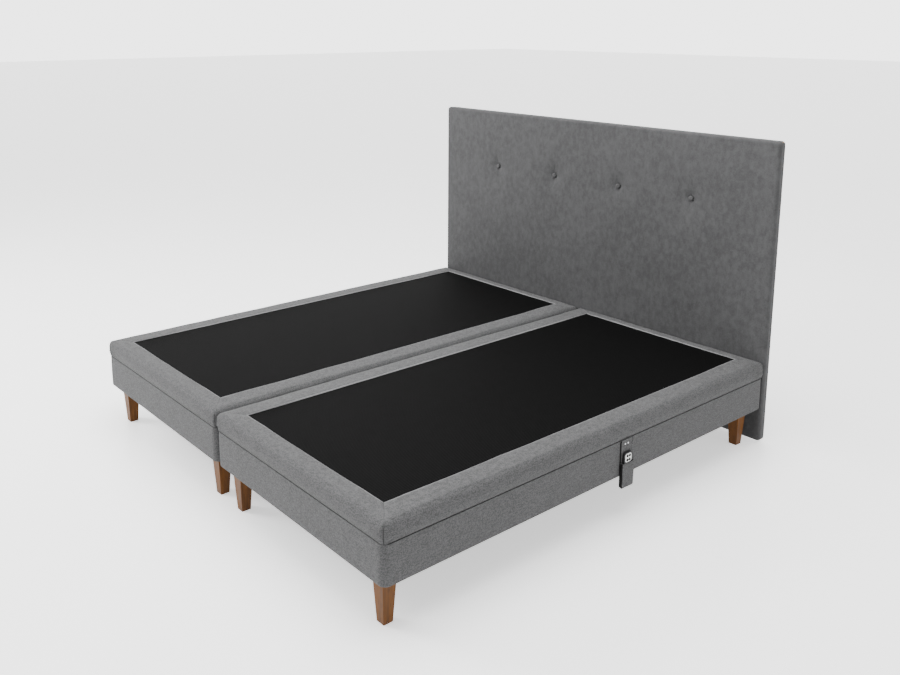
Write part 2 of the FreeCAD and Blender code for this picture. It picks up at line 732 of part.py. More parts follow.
def headboard_pad():
    """The padded front of the headboard, with a recess for each button."""
    half = HEADBOARD_WIDTH / 2
    pad = block(-half, half, HEADBOARD_FRONT, BOARD_FRONT, HEADBOARD_BOTTOM, HEADBOARD_TOP)
    pad = rounded(pad, HEADBOARD_CORNER, 1)
    front = [e for e in pad.Edges if abs(e.CenterOfMass.y - HEADBOARD_FRONT) < PICK]
    pad = pad.makeFillet(HEADBOARD_EDGE, front)
    end = HEADBOARD_FRONT + DIMPLE_DEPTH
    cuts = [rod_y(DIMPLE_RADIUS, x, HEADBOARD_FRONT, end, BUTTON_HEIGHT) for x in button_places()]
    radius = STUD_RADIUS + STUD_CLEARANCE
    for x in headboard_hanger_places():
        cuts.append(rod_y(radius, x, HEADBOARD_FRONT, BOARD_FRONT, HANGER_Z))
    return pad.cut(cuts)


def headboard_board():
    """The wooden board behind the pad, with blind holes for the bolts."""
    half = HEADBOARD_WIDTH / 2 - HEADBOARD_BOARD_INSET
    z0 = HEADBOARD_BOTTOM + HEADBOARD_BOARD_INSET
    z1 = HEADBOARD_TOP - HEADBOARD_BOARD_INSET
    board = block(-half, half, BOARD_FRONT, HEADBOARD_BACK, z0, z1)
    radius = STUD_RADIUS + STUD_CLEARANCE
    end = BOARD_FRONT + BOLT_IN_BOARD + BOLT_HOLE_SPARE
    return board.cut([rod_y(radius, x, BOARD_FRONT, end, HANGER_Z) for x in headboard_hanger_places()])


def headboard_buttons():
    """The covered buttons, each a low dome on a rim, at the bottom of its recess."""
    seat = HEADBOARD_FRONT + DIMPLE_DEPTH
    rise = BUTTON_DOME - math.sqrt(BUTTON_DOME ** 2 - BUTTON_RADIUS ** 2)
    solids = []
    for x in button_places():
        rim = rod_y(BUTTON_RADIUS, x, seat - BUTTON_RIM, seat, BUTTON_HEIGHT)
        centre = Vector(x, seat - BUTTON_RIM - rise + BUTTON_DOME, BUTTON_HEIGHT)
        ball = Part.makeSphere(BUTTON_DOME, centre)
        crown = rod_y(BUTTON_RADIUS, x, seat - BUTTON_RIM - rise, seat - BUTTON_RIM, BUTTON_HEIGHT)
        solids.append(rim.fuse(ball.common(crown)).removeSplitter())
    return solids


def headboard_hangers():
    """The flat steel plates between the boxes and the headboard."""
    solids = []
    y0 = UNIT_LENGTH + (HEADBOARD_GAP - HANGER_THICKNESS) / 2
    y1 = y0 + HANGER_THICKNESS
    for x in headboard_hanger_places():
        z0 = HANGER_Z - HANGER_HEIGHT / 2
        plate = block(x - HANGER_WIDTH / 2, x + HANGER_WIDTH / 2, y0, y1, z0, z0 + HANGER_HEIGHT)
        plate = rounded(plate, HANGER_CORNER, 1)
        solids.append(plate.cut(rod_y(STUD_RADIUS + STUD_CLEARANCE, x, y0, y1, HANGER_Z)))
    return solids


def headboard_bolts():
    """The bolts from inside the boxes into the headboard."""
    solids = []
    face = UNIT_LENGTH - RAIL_IN
    for x in headboard_hanger_places():
        shank = rod_y(STUD_RADIUS, x, face, BOARD_FRONT + BOLT_IN_BOARD, HANGER_Z)
        head = rod_y(BOLT_HEAD_RADIUS, x, face - BOLT_HEAD_LENGTH, face, HANGER_Z)
        solids.append(shank.fuse(head).removeSplitter())
    return solids


# ------------------------------------------------------------------ the pouch and the remote

POUCH_X = OUTER_SIDE + POUCH_STAND_OFF
POCKET_X = POUCH_X + POUCH_BOARD
POUCH_Y0 = POUCH_Y - POUCH_WIDTH / 2
POUCH_Y1 = POUCH_Y + POUCH_WIDTH / 2
REMOTE_X0 = POCKET_X + (POCKET_DEPTH - REMOTE_THICKNESS) / 2
REMOTE_X1 = REMOTE_X0 + REMOTE_THICKNESS
REMOTE_Z0 = POUCH_BOTTOM + POCKET_WALL + REMOTE_REST_GAP
REMOTE_Z1 = REMOTE_Z0 + REMOTE_HEIGHT
FACE_Z1 = REMOTE_Z1 - FACE_MARGIN
FACE_Z0 = FACE_Z1 - FACE_HEIGHT
KEY_X1 = REMOTE_X1 + FACE_PROUD + KEY_PROUD


def pouch_strap():
    """The stiff back of the pouch, with a tab that is held in the seam above the box."""
    z1 = BOX_TOP + (SEAM_GAP + POUCH_TAB) / 2
    board = block(POUCH_X, POCKET_X, POUCH_Y0, POUCH_Y1, POUCH_BOTTOM, z1)
    board = rounded(board, POUCH_CORNER, 0, lambda c: c.z < POUCH_BOTTOM + PICK)
    tab = block(POCKET_X - POUCH_TAB_LENGTH, POCKET_X, POUCH_Y0, POUCH_Y1, z1 - POUCH_TAB, z1)
    return board.fuse(tab).removeSplitter()


def pouch_pocket():
    """The pocket: a front, two sides and a bottom, open at the top."""
    x1 = POCKET_X + POCKET_DEPTH + POCKET_WALL
    outer = block(POCKET_X, x1, POUCH_Y0, POUCH_Y1, POUCH_BOTTOM, POCKET_TOP)
    outer = rounded(outer, POUCH_CORNER, 0, lambda c: c.z < POUCH_BOTTOM + PICK)
    y0 = POUCH_Y0 + POCKET_WALL
    y1 = POUCH_Y1 - POCKET_WALL
    return outer.cut(block(POCKET_X, x1 - POCKET_WALL, y0, y1, POUCH_BOTTOM + POCKET_WALL, POCKET_TOP))


def pouch_rivets():
    """Two rivets through the top of the pouch."""
    z = BOX_TOP - RIVET_DROP
    places = (POUCH_Y - RIVET_PITCH / 2, POUCH_Y + RIVET_PITCH / 2)
    return [rod_x(RIVET_RADIUS, POCKET_X, POCKET_X + RIVET_HEIGHT, y, z) for y in places]


def key_places():
    """The remote's keys: name, y and z."""
    z = (FACE_Z0 + FACE_Z1) / 2
    half_y = KEY_PITCH_Y / 2
    half_z = KEY_PITCH_Z / 2
    ways = {
        "key_back_up": (-1, 1),
        "key_legs_up": (1, 1),
        "key_back_down": (-1, -1),
        "key_legs_down": (1, -1),
    }
    return [(name, POUCH_Y + a * half_y, z + b * half_z) for name, (a, b) in ways.items()]


def key_wells(x0):
    """The holes that the keys slide in, from a depth to the outside."""
    return [rod_x(KEY_RADIUS + KEY_CLEARANCE, x0, KEY_X1 + 1, y, z) for _, y, z in key_places()]


def face_plate(x0, x1):
    """The face plate's outline, as a solid."""
    y0 = POUCH_Y - FACE_WIDTH / 2
    return rounded(block(x0, x1, y0, y0 + FACE_WIDTH, FACE_Z0, FACE_Z1), FACE_CORNER, 0)


def remote_case():
    """The handset's case, with a seat for the face plate and a well for each key."""
    y0 = POUCH_Y - REMOTE_WIDTH / 2
    case = block(REMOTE_X0, REMOTE_X1, y0, y0 + REMOTE_WIDTH, REMOTE_Z0, REMOTE_Z1)
    case = rounded(case, REMOTE_CORNER, 0)
    seat = REMOTE_X1 + FACE_PROUD - FACE_THICKNESS
    depth = KEY_X1 - KEY_LENGTH - KEY_TRAVEL - KEY_CLEARANCE
    return case.cut([face_plate(seat, REMOTE_X1 + 1)] + key_wells(depth))


def remote_face():
    """The pale face plate round the keys."""
    x1 = REMOTE_X1 + FACE_PROUD
    return face_plate(x1 - FACE_THICKNESS, x1).cut(key_wells(x1 - FACE_THICKNESS))


# ------------------------------------------------------------------ writing the nodes

def unit_nodes():
    """One unit's own nodes, about x = 0."""
    back_start = BACK_Y + HINGE_CLEAR
    seat_start = THIGH_Y + HINGE_CLEAR
    seat_stop = BACK_Y - HINGE_CLEAR
    thigh_start = KNEE_Y + KNEE_CLEAR
    thigh_stop = THIGH_Y - HINGE_CLEAR
    calf_stop = KNEE_Y - KNEE_CLEAR
    slope = BACK_FOLD_TOP - HINGE_CLEAR
    nodes = {}
    nodes["side_rails"] = side_rails()
    nodes["end_rails"] = end_rails()
    nodes["box_cover"] = box_cover()
    nodes["chassis"] = chassis()
    nodes["drive_housing"] = drive_housing()
    nodes["drive_motors"] = drive_motors()
    nodes["control_box"] = control_box()
    nodes["seat_panel"] = section_panel(seat_start, seat_stop)
    nodes["seat_pad"] = section_pad(seat_start, seat_stop, nodes["seat_panel"], top1=slope)
    nodes["back_frame"] = back_frame()
    nodes["back_panel"] = section_panel(back_start, UNIT_LENGTH, head_end=True)
    nodes["back_pad"] = section_pad(back_start, UNIT_LENGTH, nodes["back_panel"], top0=slope, head_end=True)
    nodes["thigh_frame"] = thigh_frame()
    nodes["thigh_panel"] = section_panel(thigh_start, thigh_stop)
    nodes["thigh_pad"] = section_pad(thigh_start, thigh_stop, nodes["thigh_panel"])
    nodes["calf_fittings"] = calf_fittings()
    nodes["calf_panel"] = section_panel(0.0, calf_stop, foot_end=True)
    nodes["calf_pad"] = section_pad(0.0, calf_stop, nodes["calf_panel"], foot_end=True)
    nodes["calf_links"] = both_sides([calf_link()])
    nodes["back_push_rod"] = push_rod(BACK_Y, BACK_ANGLE, 1, LEVER_X)
    nodes["leg_push_rod"] = push_rod(THIGH_Y, THIGH_ANGLE, -1, -LEVER_X)
    return nodes


def on_both_units(solids):
    """A list of pieces of one unit, copied to both units."""
    return [moved(s, x=side * UNIT_OFFSET) for side in (-1, 1) for s in solids]


def main():
    """Build and write every node."""
    for name, solids in unit_nodes().items():
        group = solids if isinstance(solids, list) else [solids]
        save(f"left_{name}", [moved(s, x=-UNIT_OFFSET) for s in group])
        save(f"right_{name}", [moved(s, x=UNIT_OFFSET) for s in group])
    save("legs", on_both_units([moved(leg(), x, y) for x, y in leg_places()]))
    save("leg_studs", on_both_units([moved(leg_stud(), x, y) for x, y in leg_places()]))
    save("corner_blocks", on_both_units(corner_blocks()))
    save("dust_cloths", on_both_units([dust_cloth()]))
    save("headboard_pad", headboard_pad())
    save("headboard_board", headboard_board())
    save("headboard_buttons", headboard_buttons())
    save("headboard_hangers", headboard_hangers())
    save("headboard_bolts", headboard_bolts())
    save("pouch_strap", pouch_strap())
    save("pouch_pocket", pouch_pocket())
    save("pouch_rivets", pouch_rivets())
    save("remote_case", remote_case())
    save("remote_face", remote_face())
    for name, y, z in key_places():
        save(name, rod_x(KEY_RADIUS, KEY_X1 - KEY_LENGTH, KEY_X1, y, z))


main()
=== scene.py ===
import json
import math

import bmesh
import bpy
from mathutils import Matrix, Vector, noise


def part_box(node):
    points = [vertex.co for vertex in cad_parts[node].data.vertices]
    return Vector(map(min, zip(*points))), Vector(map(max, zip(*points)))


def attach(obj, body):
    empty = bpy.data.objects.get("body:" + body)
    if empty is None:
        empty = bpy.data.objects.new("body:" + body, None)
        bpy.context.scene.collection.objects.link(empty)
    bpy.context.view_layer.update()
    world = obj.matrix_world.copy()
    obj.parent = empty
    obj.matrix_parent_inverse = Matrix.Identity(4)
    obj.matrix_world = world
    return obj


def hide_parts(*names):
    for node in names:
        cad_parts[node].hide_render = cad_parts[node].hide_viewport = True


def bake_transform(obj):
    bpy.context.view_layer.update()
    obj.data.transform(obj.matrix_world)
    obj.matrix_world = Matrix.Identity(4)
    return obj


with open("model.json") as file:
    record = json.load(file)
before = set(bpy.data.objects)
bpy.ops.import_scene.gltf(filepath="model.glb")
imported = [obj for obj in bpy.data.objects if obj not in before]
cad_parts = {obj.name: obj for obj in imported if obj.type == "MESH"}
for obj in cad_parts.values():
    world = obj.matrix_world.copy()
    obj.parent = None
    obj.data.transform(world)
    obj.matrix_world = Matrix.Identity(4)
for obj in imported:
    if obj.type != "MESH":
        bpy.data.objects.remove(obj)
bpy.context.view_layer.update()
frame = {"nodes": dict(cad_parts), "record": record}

bl_info = {
    "name": "Adjustable Bed Base Looks",
    "version": (1, 0, 0),
    "blender": (4, 5, 0),
    "location": "View3D > Sidebar > Bed Base",
    "description": "Sewn covers, cloths, stage and finishes for an adjustable bed base",
    "category": "Object",
}

SIDES = ("left", "right")


# ---------------------------------------------------------------- sizes and colours


class BedCoverSizes(bpy.types.PropertyGroup):
    side_band: bpy.props.FloatProperty(
        name="Side band",
        description="Width of the padded rim along each long side",
        default=0.0965,
        unit="LENGTH",
    )
    foot_band: bpy.props.FloatProperty(
        name="Foot band",
        description="Width of the padded rim at the foot",
        default=0.0761,
        unit="LENGTH",
    )
    head_band: bpy.props.FloatProperty(
        name="Head band",
        description="Width of the padded rim at the headboard",
        default=0.0645,
        unit="LENGTH",
    )
    corner: bpy.props.FloatProperty(
        name="Box corner",
        description="Radius of the box's upright corners",
        default=0.026,
        unit="LENGTH",
    )
    rim_corner: bpy.props.FloatProperty(
        name="Rim corner",
        description="Radius of the padded rim's sewn corners",
        default=0.015,
        unit="LENGTH",
    )
    wrinkle: bpy.props.FloatProperty(
        name="Wrinkle",
        description="Depth of the bunched folds beside each sewn corner",
        default=0.0026,
        unit="LENGTH",
    )
    dimple: bpy.props.FloatProperty(
        name="Dimple",
        description="How far each button pulls the headboard's padding in",
        default=0.0165,
        unit="LENGTH",
    )


class BedColours(bpy.types.PropertyGroup):
    woven: bpy.props.FloatVectorProperty(
        name="Woven grey",
        description="Fabric of the rim, the boxes and the pouch",
        default=(0.067, 0.067, 0.068),
        subtype="COLOR",
    )
    velvet: bpy.props.FloatVectorProperty(
        name="Velvet grey",
        description="Fabric of the headboard",
        default=(0.047, 0.047, 0.048),
        subtype="COLOR",
    )
    ribbed: bpy.props.FloatVectorProperty(
        name="Ribbed black",
        description="Non-slip cloth of the deck's field",
        default=(0.0009, 0.0009, 0.0009),
        subtype="COLOR",
    )
    wood: bpy.props.FloatVectorProperty(
        name="Leg wood",
        description="Stained wood of the legs",
        default=(0.100, 0.036, 0.0050),
        subtype="COLOR",
    )


class BedStudio(bpy.types.PropertyGroup):
    key: bpy.props.FloatProperty(
        name="Key light",
        description="Power of the large light at the left of the foot",
        default=330.0,
        unit="POWER",
    )
    fill: bpy.props.FloatProperty(
        name="Overhead light",
        description="Power of the large light above the bed",
        default=400.0,
        unit="POWER",
    )
    sky: bpy.props.FloatProperty(
        name="Surround",
        description="Strength of the even light from the walls of the studio",
        default=1.75,
    )
    ceiling: bpy.props.FloatProperty(
        name="Ceiling",
        description="Strength of the light from straight above, as a share of the walls'",
        default=0.42,
        subtype="FACTOR",
    )
    gap: bpy.props.FloatProperty(
        name="Dark gap",
        description="How far the surround darkens between the lit walls, beside the near corner",
        default=0.92,
        subtype="FACTOR",
    )
    wall: bpy.props.FloatProperty(
        name="Bright wall",
        description="How much brighter the surround is behind the bed, as a share",
        default=1.05,
    )
    glow: bpy.props.FloatProperty(
        name="Floor glow",
        description="Light of the floor itself, which keeps its shadows pale",
        default=0.95,
    )


def sizes():
    return bpy.context.scene.bed_cover_sizes


def colours():
    return bpy.context.scene.bed_colours


def studio():
    return bpy.context.scene.bed_studio


# ---------------------------------------------------------------- finishes


class Signal:
    """A shader socket that adds Math nodes when it is used in arithmetic."""

    def __init__(self, finish, socket):
        self.finish = finish
        self.socket = socket

    def math(self, operation, first, second=None):
        values = {0: first} if second is None else {0: first, 1: second}
        return self.finish.add("ShaderNodeMath", {"operation": operation}, values)

    def __add__(self, other):
        return self.math("ADD", self, other)

    __radd__ = __add__

    def __rsub__(self, other):
        return self.math("SUBTRACT", other, self)

    def __mul__(self, other):
        return self.math("MULTIPLY", self, other)

    __rmul__ = __mul__

    def sine(self):
        return self.math("SINE", self)

    def ramp(self, low, high):
        """0 below low and 1 above high, with a soft change between."""
        return self.finish.add(
            "ShaderNodeMapRange",
            {"interpolation_type": "SMOOTHSTEP"},
            {"Value": self, "From Min": low, "From Max": high},
        )


class Nodes:
    """A node tree that nodes are added to."""

    def __init__(self, tree):
        self.tree = tree

    def add(self, kind, settings, values, output=0):
        """A node of that kind with its settings made first and its sockets filled or linked."""
        node = self.tree.nodes.new(kind)
        for key, value in settings.items():
            setattr(node, key, value)
        for key, value in values.items():
            if isinstance(value, Signal):
                self.tree.links.new(value.socket, node.inputs[key])
            else:
                node.inputs[key].default_value = value
        return Signal(self, node.outputs[output])


class Finish(Nodes):
    """One procedural material, built on a Principled shader."""

    def __init__(self, name, **fixed):
        self.material = bpy.data.materials.new(name)
        self.material.use_nodes = True
        super().__init__(self.material.node_tree)
        self.shader = next(n for n in self.tree.nodes if n.type == "BSDF_PRINCIPLED")
        for socket, value in fixed.items():
            self.shader.inputs[socket.replace("_", " ")].default_value = value

    def place(self):
        """Object coordinates, for pieces that don't bend."""
        return self.add("ShaderNodeTexCoord", {}, {}, "Object")

    def rest(self):
        """Where each point of a cloth lies at rest, so that a pattern follows it."""
        return self.add("ShaderNodeAttribute", {"attribute_name": "rest_place"}, {}, "Vector")

    def threads(self):
        """The two thread directions of a cloth, in metres."""
        lay = self.add("ShaderNodeUVMap", {"uv_map": "weave"}, {})
        return tuple(self.add("ShaderNodeSeparateXYZ", {}, {0: lay}, way) for way in (0, 1))

    def stretched(self, vector, scale):
        return self.add("ShaderNodeVectorMath", {"operation": "MULTIPLY"}, {0: vector, 1: scale})

    def speckle(self, vector, scale, detail=2.0, rough=0.55):
        return self.add(
            "ShaderNodeTexNoise",
            {},
            {"Vector": vector, "Scale": scale, "Detail": detail, "Roughness": rough},
            "Fac",
        )

    def blend(self, factor, first, second):
        """Two colours mixed by a factor."""
        return self.add(
            "ShaderNodeMix", {"data_type": "RGBA"}, {0: factor, 6: first, 7: second}, 2
        )

    def bump(self, height, distance, strength=1.0):
        return self.add(
            "ShaderNodeBump", {}, {"Height": height, "Distance": distance, "Strength": strength}
        )

    def use(self, **signals):
        for socket, signal in signals.items():
            self.tree.links.new(signal.socket, self.shader.inputs[socket.replace("_", " ")])
        return self.material


def shade(colour, factor):
    """A colour made lighter or darker, with its alpha."""
    return (colour[0] * factor, colour[1] * factor, colour[2] * factor, 1.0)


def woven_finish(name, colour, pitch, contrast):
    """Plain weave of mixed light and dark yarns."""
    f = Finish(name, Sheen_Weight=0.04, Sheen_Roughness=0.5, Specular_IOR_Level=0.25)
    rest = f.rest()
    across, along = f.threads()
    turns = 2 * math.pi / pitch
    warp = (across * turns).sine()
    weft = (along * turns).sine()
    weave = (warp * weft) * 0.5 + 0.5
    yarn = f.speckle(rest, 260.0, 3.0, 0.7)
    streak = f.speckle(f.stretched(rest, (60.0, 60.0, 380.0)), 1.0, 2.0, 0.6)
    cloud = f.speckle(rest, 9.0, 4.0, 0.6)
    tone = yarn * 0.66 + streak * 0.26 + cloud * 0.08
    tone = tone.ramp(0.40, 0.60) * (0.85 + weave * 0.15)
    base = f.blend(tone, shade(colour, 1 - contrast), shade(colour, 1 + contrast))
    relief = f.bump(weave * 0.6 + yarn * 0.8, 0.0009, 0.55)
    return f.use(Base_Color=base, Roughness=0.82 + cloud * 0.12, Normal=relief)


def velvet_finish(name, colour):
    """Short-pile cloth with soft clouds where the pile lies differently."""
    f = Finish(name, Sheen_Weight=0.06, Sheen_Roughness=0.4, Specular_IOR_Level=0.25)
    rest = f.rest()
    pile = f.speckle(rest, 420.0, 3.0, 0.75)
    nap = f.speckle(f.stretched(rest, (1.0, 1.0, 0.7)), 42.0, 6.0, 0.8)
    cloud = f.speckle(f.stretched(rest, (1.0, 1.0, 1.3)), 4.5, 5.0, 0.62)
    tone = (pile * 0.30 + nap * 0.50 + cloud * 0.20).ramp(0.38, 0.62)
    base = f.blend(tone, shade(colour, 0.76), shade(colour, 1.28))
    relief = f.bump(pile * 0.5 + nap, 0.0014, 0.5)
    return f.use(Base_Color=base, Roughness=0.72 + cloud * 0.15, Normal=relief)


RIB_PITCH = 0.0075
KNOT_PITCH = 0.0060


def ribbed_finish(name, colour):
    """Black knitted cloth with fine ribs along the bed and small grip dots."""
    f = Finish(name, Specular_IOR_Level=0.05)
    rest = f.rest()
    across, along = f.threads()
    rib = (across * (2 * math.pi / RIB_PITCH)).sine() * 0.5 + 0.5
    knot = (along * (2 * math.pi / KNOT_PITCH)).sine() * 0.5 + 0.5
    fuzz = f.speckle(rest, 300.0, 2.0, 0.6)
    tone = (rib * (0.6 + knot * 0.4)) * 0.7 + fuzz * 0.3
    base = f.blend(tone, shade(colour, 0.55), shade(colour, 1.9))
    relief = f.bump(rib * (0.7 + knot * 0.3), 0.0008, 0.7)
    return f.use(Base_Color=base, Roughness=0.86 - rib * 0.08, Normal=relief)


def plain_cloth_finish(name, colour, rough=0.9, on_sheet=True):
    """Bonded or tape cloth with a fine fibre speckle."""
    f = Finish(name, Specular_IOR_Level=0.15)
    spot = f.rest() if on_sheet else f.place()
    fibre = f.speckle(f.stretched(spot, (1.0, 1.0, 0.8)), 330.0, 4.0, 0.7)
    dent = f.speckle(spot, 120.0, 1.0, 0.5)
    base = f.blend(fibre.ramp(0.3, 0.7), shade(colour, 0.75), shade(colour, 1.35))
    relief = f.bump(fibre + dent * 0.6, 0.0005, 0.5)
    return f.use(Base_Color=base, Roughness=rough - fibre * 0.12, Normal=relief)


def wood_finish(name, colour, stretch, gloss):
    """Straight-grained wood: pores and growth bands drawn out along the grain."""
    f = Finish(name, Specular_IOR_Level=0.15)
    place = f.place()
    drawn = f.stretched(place, stretch)
    warp = f.speckle(drawn, 0.35, 2.0, 0.5)
    bands = f.speckle(drawn, 1.0, 4.0, 0.65)
    pores = f.speckle(drawn, 5.5, 3.0, 0.7)
    tone = (bands * 0.65 + warp * 0.35).ramp(0.32, 0.68)
    pale = f.blend(tone, shade(colour, 0.62), shade(colour, 1.35))
    base = f.blend(pores.ramp(0.52, 0.72), pale, shade(colour, 0.45))
    relief = f.bump(pores * -0.7 + bands * 0.3, 0.0004, 0.5)
    return f.use(Base_Color=base, Roughness=gloss + tone * 0.15, Normal=relief)


def metal_finish(name, colour, metallic, rough, scratch):
    """Painted or plated steel with a fine drawn grain and faint handling marks."""
    f = Finish(name, Metallic=metallic)
    place = f.place()
    brush = f.speckle(f.stretched(place, (40.0, 900.0, 900.0)), 1.0, 3.0, 0.6)
    cloud = f.speckle(place, 22.0, 3.0, 0.6)
    base = f.blend(cloud.ramp(0.3, 0.7), shade(colour, 0.86), shade(colour, 1.1))
    relief = f.bump(brush, 0.0002, scratch)
    return f.use(Base_Color=base, Roughness=rough + cloud * 0.12 + brush * 0.06, Normal=relief)


def plastic_finish(name, colour, rough, grain):
    """Moulded plastic with a fine spark-eroded grain."""
    f = Finish(name, Specular_IOR_Level=0.2)
    place = f.place()
    spark = f.speckle(place, 900.0, 2.0, 0.6)
    smear = f.speckle(place, 35.0, 3.0, 0.6)
    base = f.blend(smear.ramp(0.3, 0.7), shade(colour, 0.93), shade(colour, 1.06))
    relief = f.bump(spark, 0.0002, grain)
    return f.use(Base_Color=base, Roughness=rough + smear * 0.1, Normal=relief)


def make_finishes():
    """Every material slot of the record, and the finishes of the added pieces."""
    c = colours()
    return {
        "grey_fabric": woven_finish("grey_fabric", c.woven, 0.0022, 0.36),
        "deck_mesh": ribbed_finish("deck_mesh", c.ribbed),
        "headboard_fabric": velvet_finish("headboard_fabric", c.velvet),
        # the cord is the rim's grey made 2.5 times lighter: a painted highlight along the field's edge
        "cord_painted_highlight": woven_finish("cord_painted_highlight", shade(c.woven, 2.5), 0.0018, 0.15),
        "seam_thread": plain_cloth_finish("seam_thread", (0.42, 0.42, 0.42), 0.8),
        "black_cloth": plain_cloth_finish("black_cloth", (0.008, 0.008, 0.0085)),
        "black_tape": plain_cloth_finish("black_tape", (0.006, 0.006, 0.006), 0.85),
        "leg_wood": wood_finish("leg_wood", c.wood, (95.0, 95.0, 7.0), 0.38),
        "frame_wood": wood_finish("frame_wood", (0.50, 0.34, 0.19), (60.0, 5.0, 60.0), 0.62),
        "black_steel": metal_finish("black_steel", (0.025, 0.025, 0.027), 0.2, 0.42, 0.2),
        "zinc_steel": metal_finish("zinc_steel", (0.56, 0.57, 0.58), 1.0, 0.28, 0.35),
        "motor_steel": metal_finish("motor_steel", (0.12, 0.12, 0.125), 0.7, 0.36, 0.3),
        "black_plastic": plastic_finish("black_plastic", (0.012, 0.012, 0.013), 0.42, 0.5),
        "white_plastic": plastic_finish("white_plastic", (0.80, 0.80, 0.79), 0.3, 0.2),
        "key_rubber": plastic_finish("key_rubber", (0.006, 0.006, 0.006), 0.55, 0.6),
    }


# ---------------------------------------------------------------- sewing


def between(low, value, high):
    return max(low, min(value, high))


def part_of(distance, full):
    """How much of a full distance is reached, from 0 to 1."""
    return between(0, distance / full, 1)


def outline(node):
    """Half the width and length of a node seen from above, and the middle of its outline."""
    low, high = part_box(node)
    half = ((high.x - low.x) / 2, (high.y - low.y) / 2)
    return half, Vector(((high.x + low.x) / 2, (high.y + low.y) / 2, 0))


def grow(bm, edges):
    """One more loop of cloth along open edges: its new points, its outer edges and its faces."""
    grown = bmesh.ops.extrude_edge_only(bm, edges=edges)["geom"]
    points = {g for g in grown if isinstance(g, bmesh.types.BMVert)}
    outer = [g for g in grown if isinstance(g, bmesh.types.BMEdge) and set(g.verts) <= points]
    return points, outer, [g for g in grown if isinstance(g, bmesh.types.BMFace)]


NEAR = 1e-6
TIGHTEST = 0.0015


def cloth_lines(low, high, fine, coarse, reach, folds=(), fold_step=0.010, edge=0.0):
    """Places of a cloth's grid lines: fine near both ends, closer in the folds, and one more
    line beside each end when edge says how far in."""
    lines = [low]
    while high - lines[-1] > NEAR:
        here = lines[-1]
        step = coarse
        if any(a <= here <= b for a, b in folds):
            step = fold_step
        if min(here - low, high - here) < reach:
            step = fine
        lines.append(min(here + step, high))
    if lines[-1] - lines[-2] < fine / 2:
        del lines[-2]
    if edge:
        lines = [low, low + edge, *lines[1:-1], high - edge, high]
    return lines


def soft_corner(way, half, radius, inset):
    """A point of a square outline, moved to the same outline drawn in and with round corners."""
    core = Vector(
        (
            between(radius - half[0], way.x, half[0] - radius),
            between(radius - half[1], way.y, half[1] - radius),
        )
    )
    outward = Vector((way.x, way.y)) - core
    outward.normalize()
    left = max(radius - inset, TIGHTEST)
    core.x *= (half[0] - inset - left) / (half[0] - radius)
    core.y *= (half[1] - inset - left) / (half[1] - radius)
    return core + outward * left


def sew(lines_u, lines_v, half, radius, profile, field=True):
    """A cloth over a block: a flat field, then loops of cloth grown out along a profile of
    (share of the way to the outline, inset from the outline, height). Field faces have
    material 0 and the others 1."""
    bm = bmesh.new()
    nu, nv = len(lines_u) - 1, len(lines_v) - 1
    bmesh.ops.create_grid(bm, x_segments=nu, y_segments=nv, size=1.0)
    bm.verts.layers.float_vector.new("way")
    root = bm.verts.layers.float_vector.new("root")
    way = bm.verts.layers.float_vector["way"]
    for v in bm.verts:
        u = lines_u[round((v.co.x + 1) / 2 * nu)]
        w = lines_v[round((v.co.y + 1) / 2 * nv)]
        share_u = (u - lines_u[0]) / (lines_u[-1] - lines_u[0])
        share_v = (w - lines_v[0]) / (lines_v[-1] - lines_v[0])
        v[way] = Vector(((2 * share_u - 1) * half[0], (2 * share_v - 1) * half[1], 0))
        v.co = Vector((u, w, profile[0][2]))
        v[root] = v.co
    edges = [e for e in bm.edges if e.is_boundary]
    if not field:
        inner = [v for v in bm.verts if not v.is_boundary]
        bmesh.ops.delete(bm, geom=inner, context="VERTS")
        bmesh.ops.delete(bm, geom=bm.faces[:], context="FACES_ONLY")
        edges = bm.edges[:]
        for v in bm.verts:
            spot = soft_corner(v[way], half, radius, profile[0][1])
            v.co = Vector((spot.x, spot.y, profile[0][2]))
    for share, inset, height in profile[1:]:
        points, edges, faces = grow(bm, edges)
        for f in faces:
            f.material_index = 1
        for v in points:
            spot = soft_corner(v[way], half, radius, inset)
            out = Vector((spot.x, spot.y, height))
            if share < 1:
                flat = v[root].lerp(out, share)
                out = Vector((flat.x, flat.y, height))
            v.co = out
    bmesh.ops.recalc_face_normals(bm, faces=bm.faces[:])
    return bm


def face_up(bm, pick):
    """Turns the whole cloth over if the picked direction says that it is inside out."""
    if sum(f.normal.dot(pick(f)) * f.calc_area() for f in bm.faces) < 0:
        bmesh.ops.reverse_faces(bm, faces=bm.faces[:])


def away_from(centre):
    return lambda f: f.calc_center_median() - centre


def only(bm, keep):
    """A copy of the cloth with only the faces that keep says."""
    part = bm.copy()
    bmesh.ops.delete(part, geom=[f for f in part.faces if not keep(f)], context="FACES")
    for f in part.faces:
        f.material_index = 0
    return part


def slice_between(bm, low, high):
    """A copy of the cloth cut at two planes across the bed."""
    part = bm.copy()
    for edge, sign in ((low, -1), (high, 1)):
        if edge is not None:
            bmesh.ops.bisect_plane(
                part,
                geom=part.verts[:] + part.edges[:] + part.faces[:],
                plane_co=(0, edge, 0),
                plane_no=(0, sign, 0),
                clear_outer=True,
            )
    return part


def to_object(name, bm, finishes):
    """A smooth object of the cloth, without the layers that only sewing needs."""
    mesh = bpy.data.meshes.new(name)
    bm.to_mesh(mesh)
    bm.free()
    for layer in ("way", "root", "mitre"):
        if layer in mesh.attributes:
            mesh.attributes.remove(mesh.attributes[layer])
    for f in mesh.polygons:
        f.use_smooth = True
    for finish in finishes:
        mesh.materials.append(finish)
    obj = bpy.data.objects.new(name, mesh)
    bpy.context.scene.collection.objects.link(obj)
    return obj


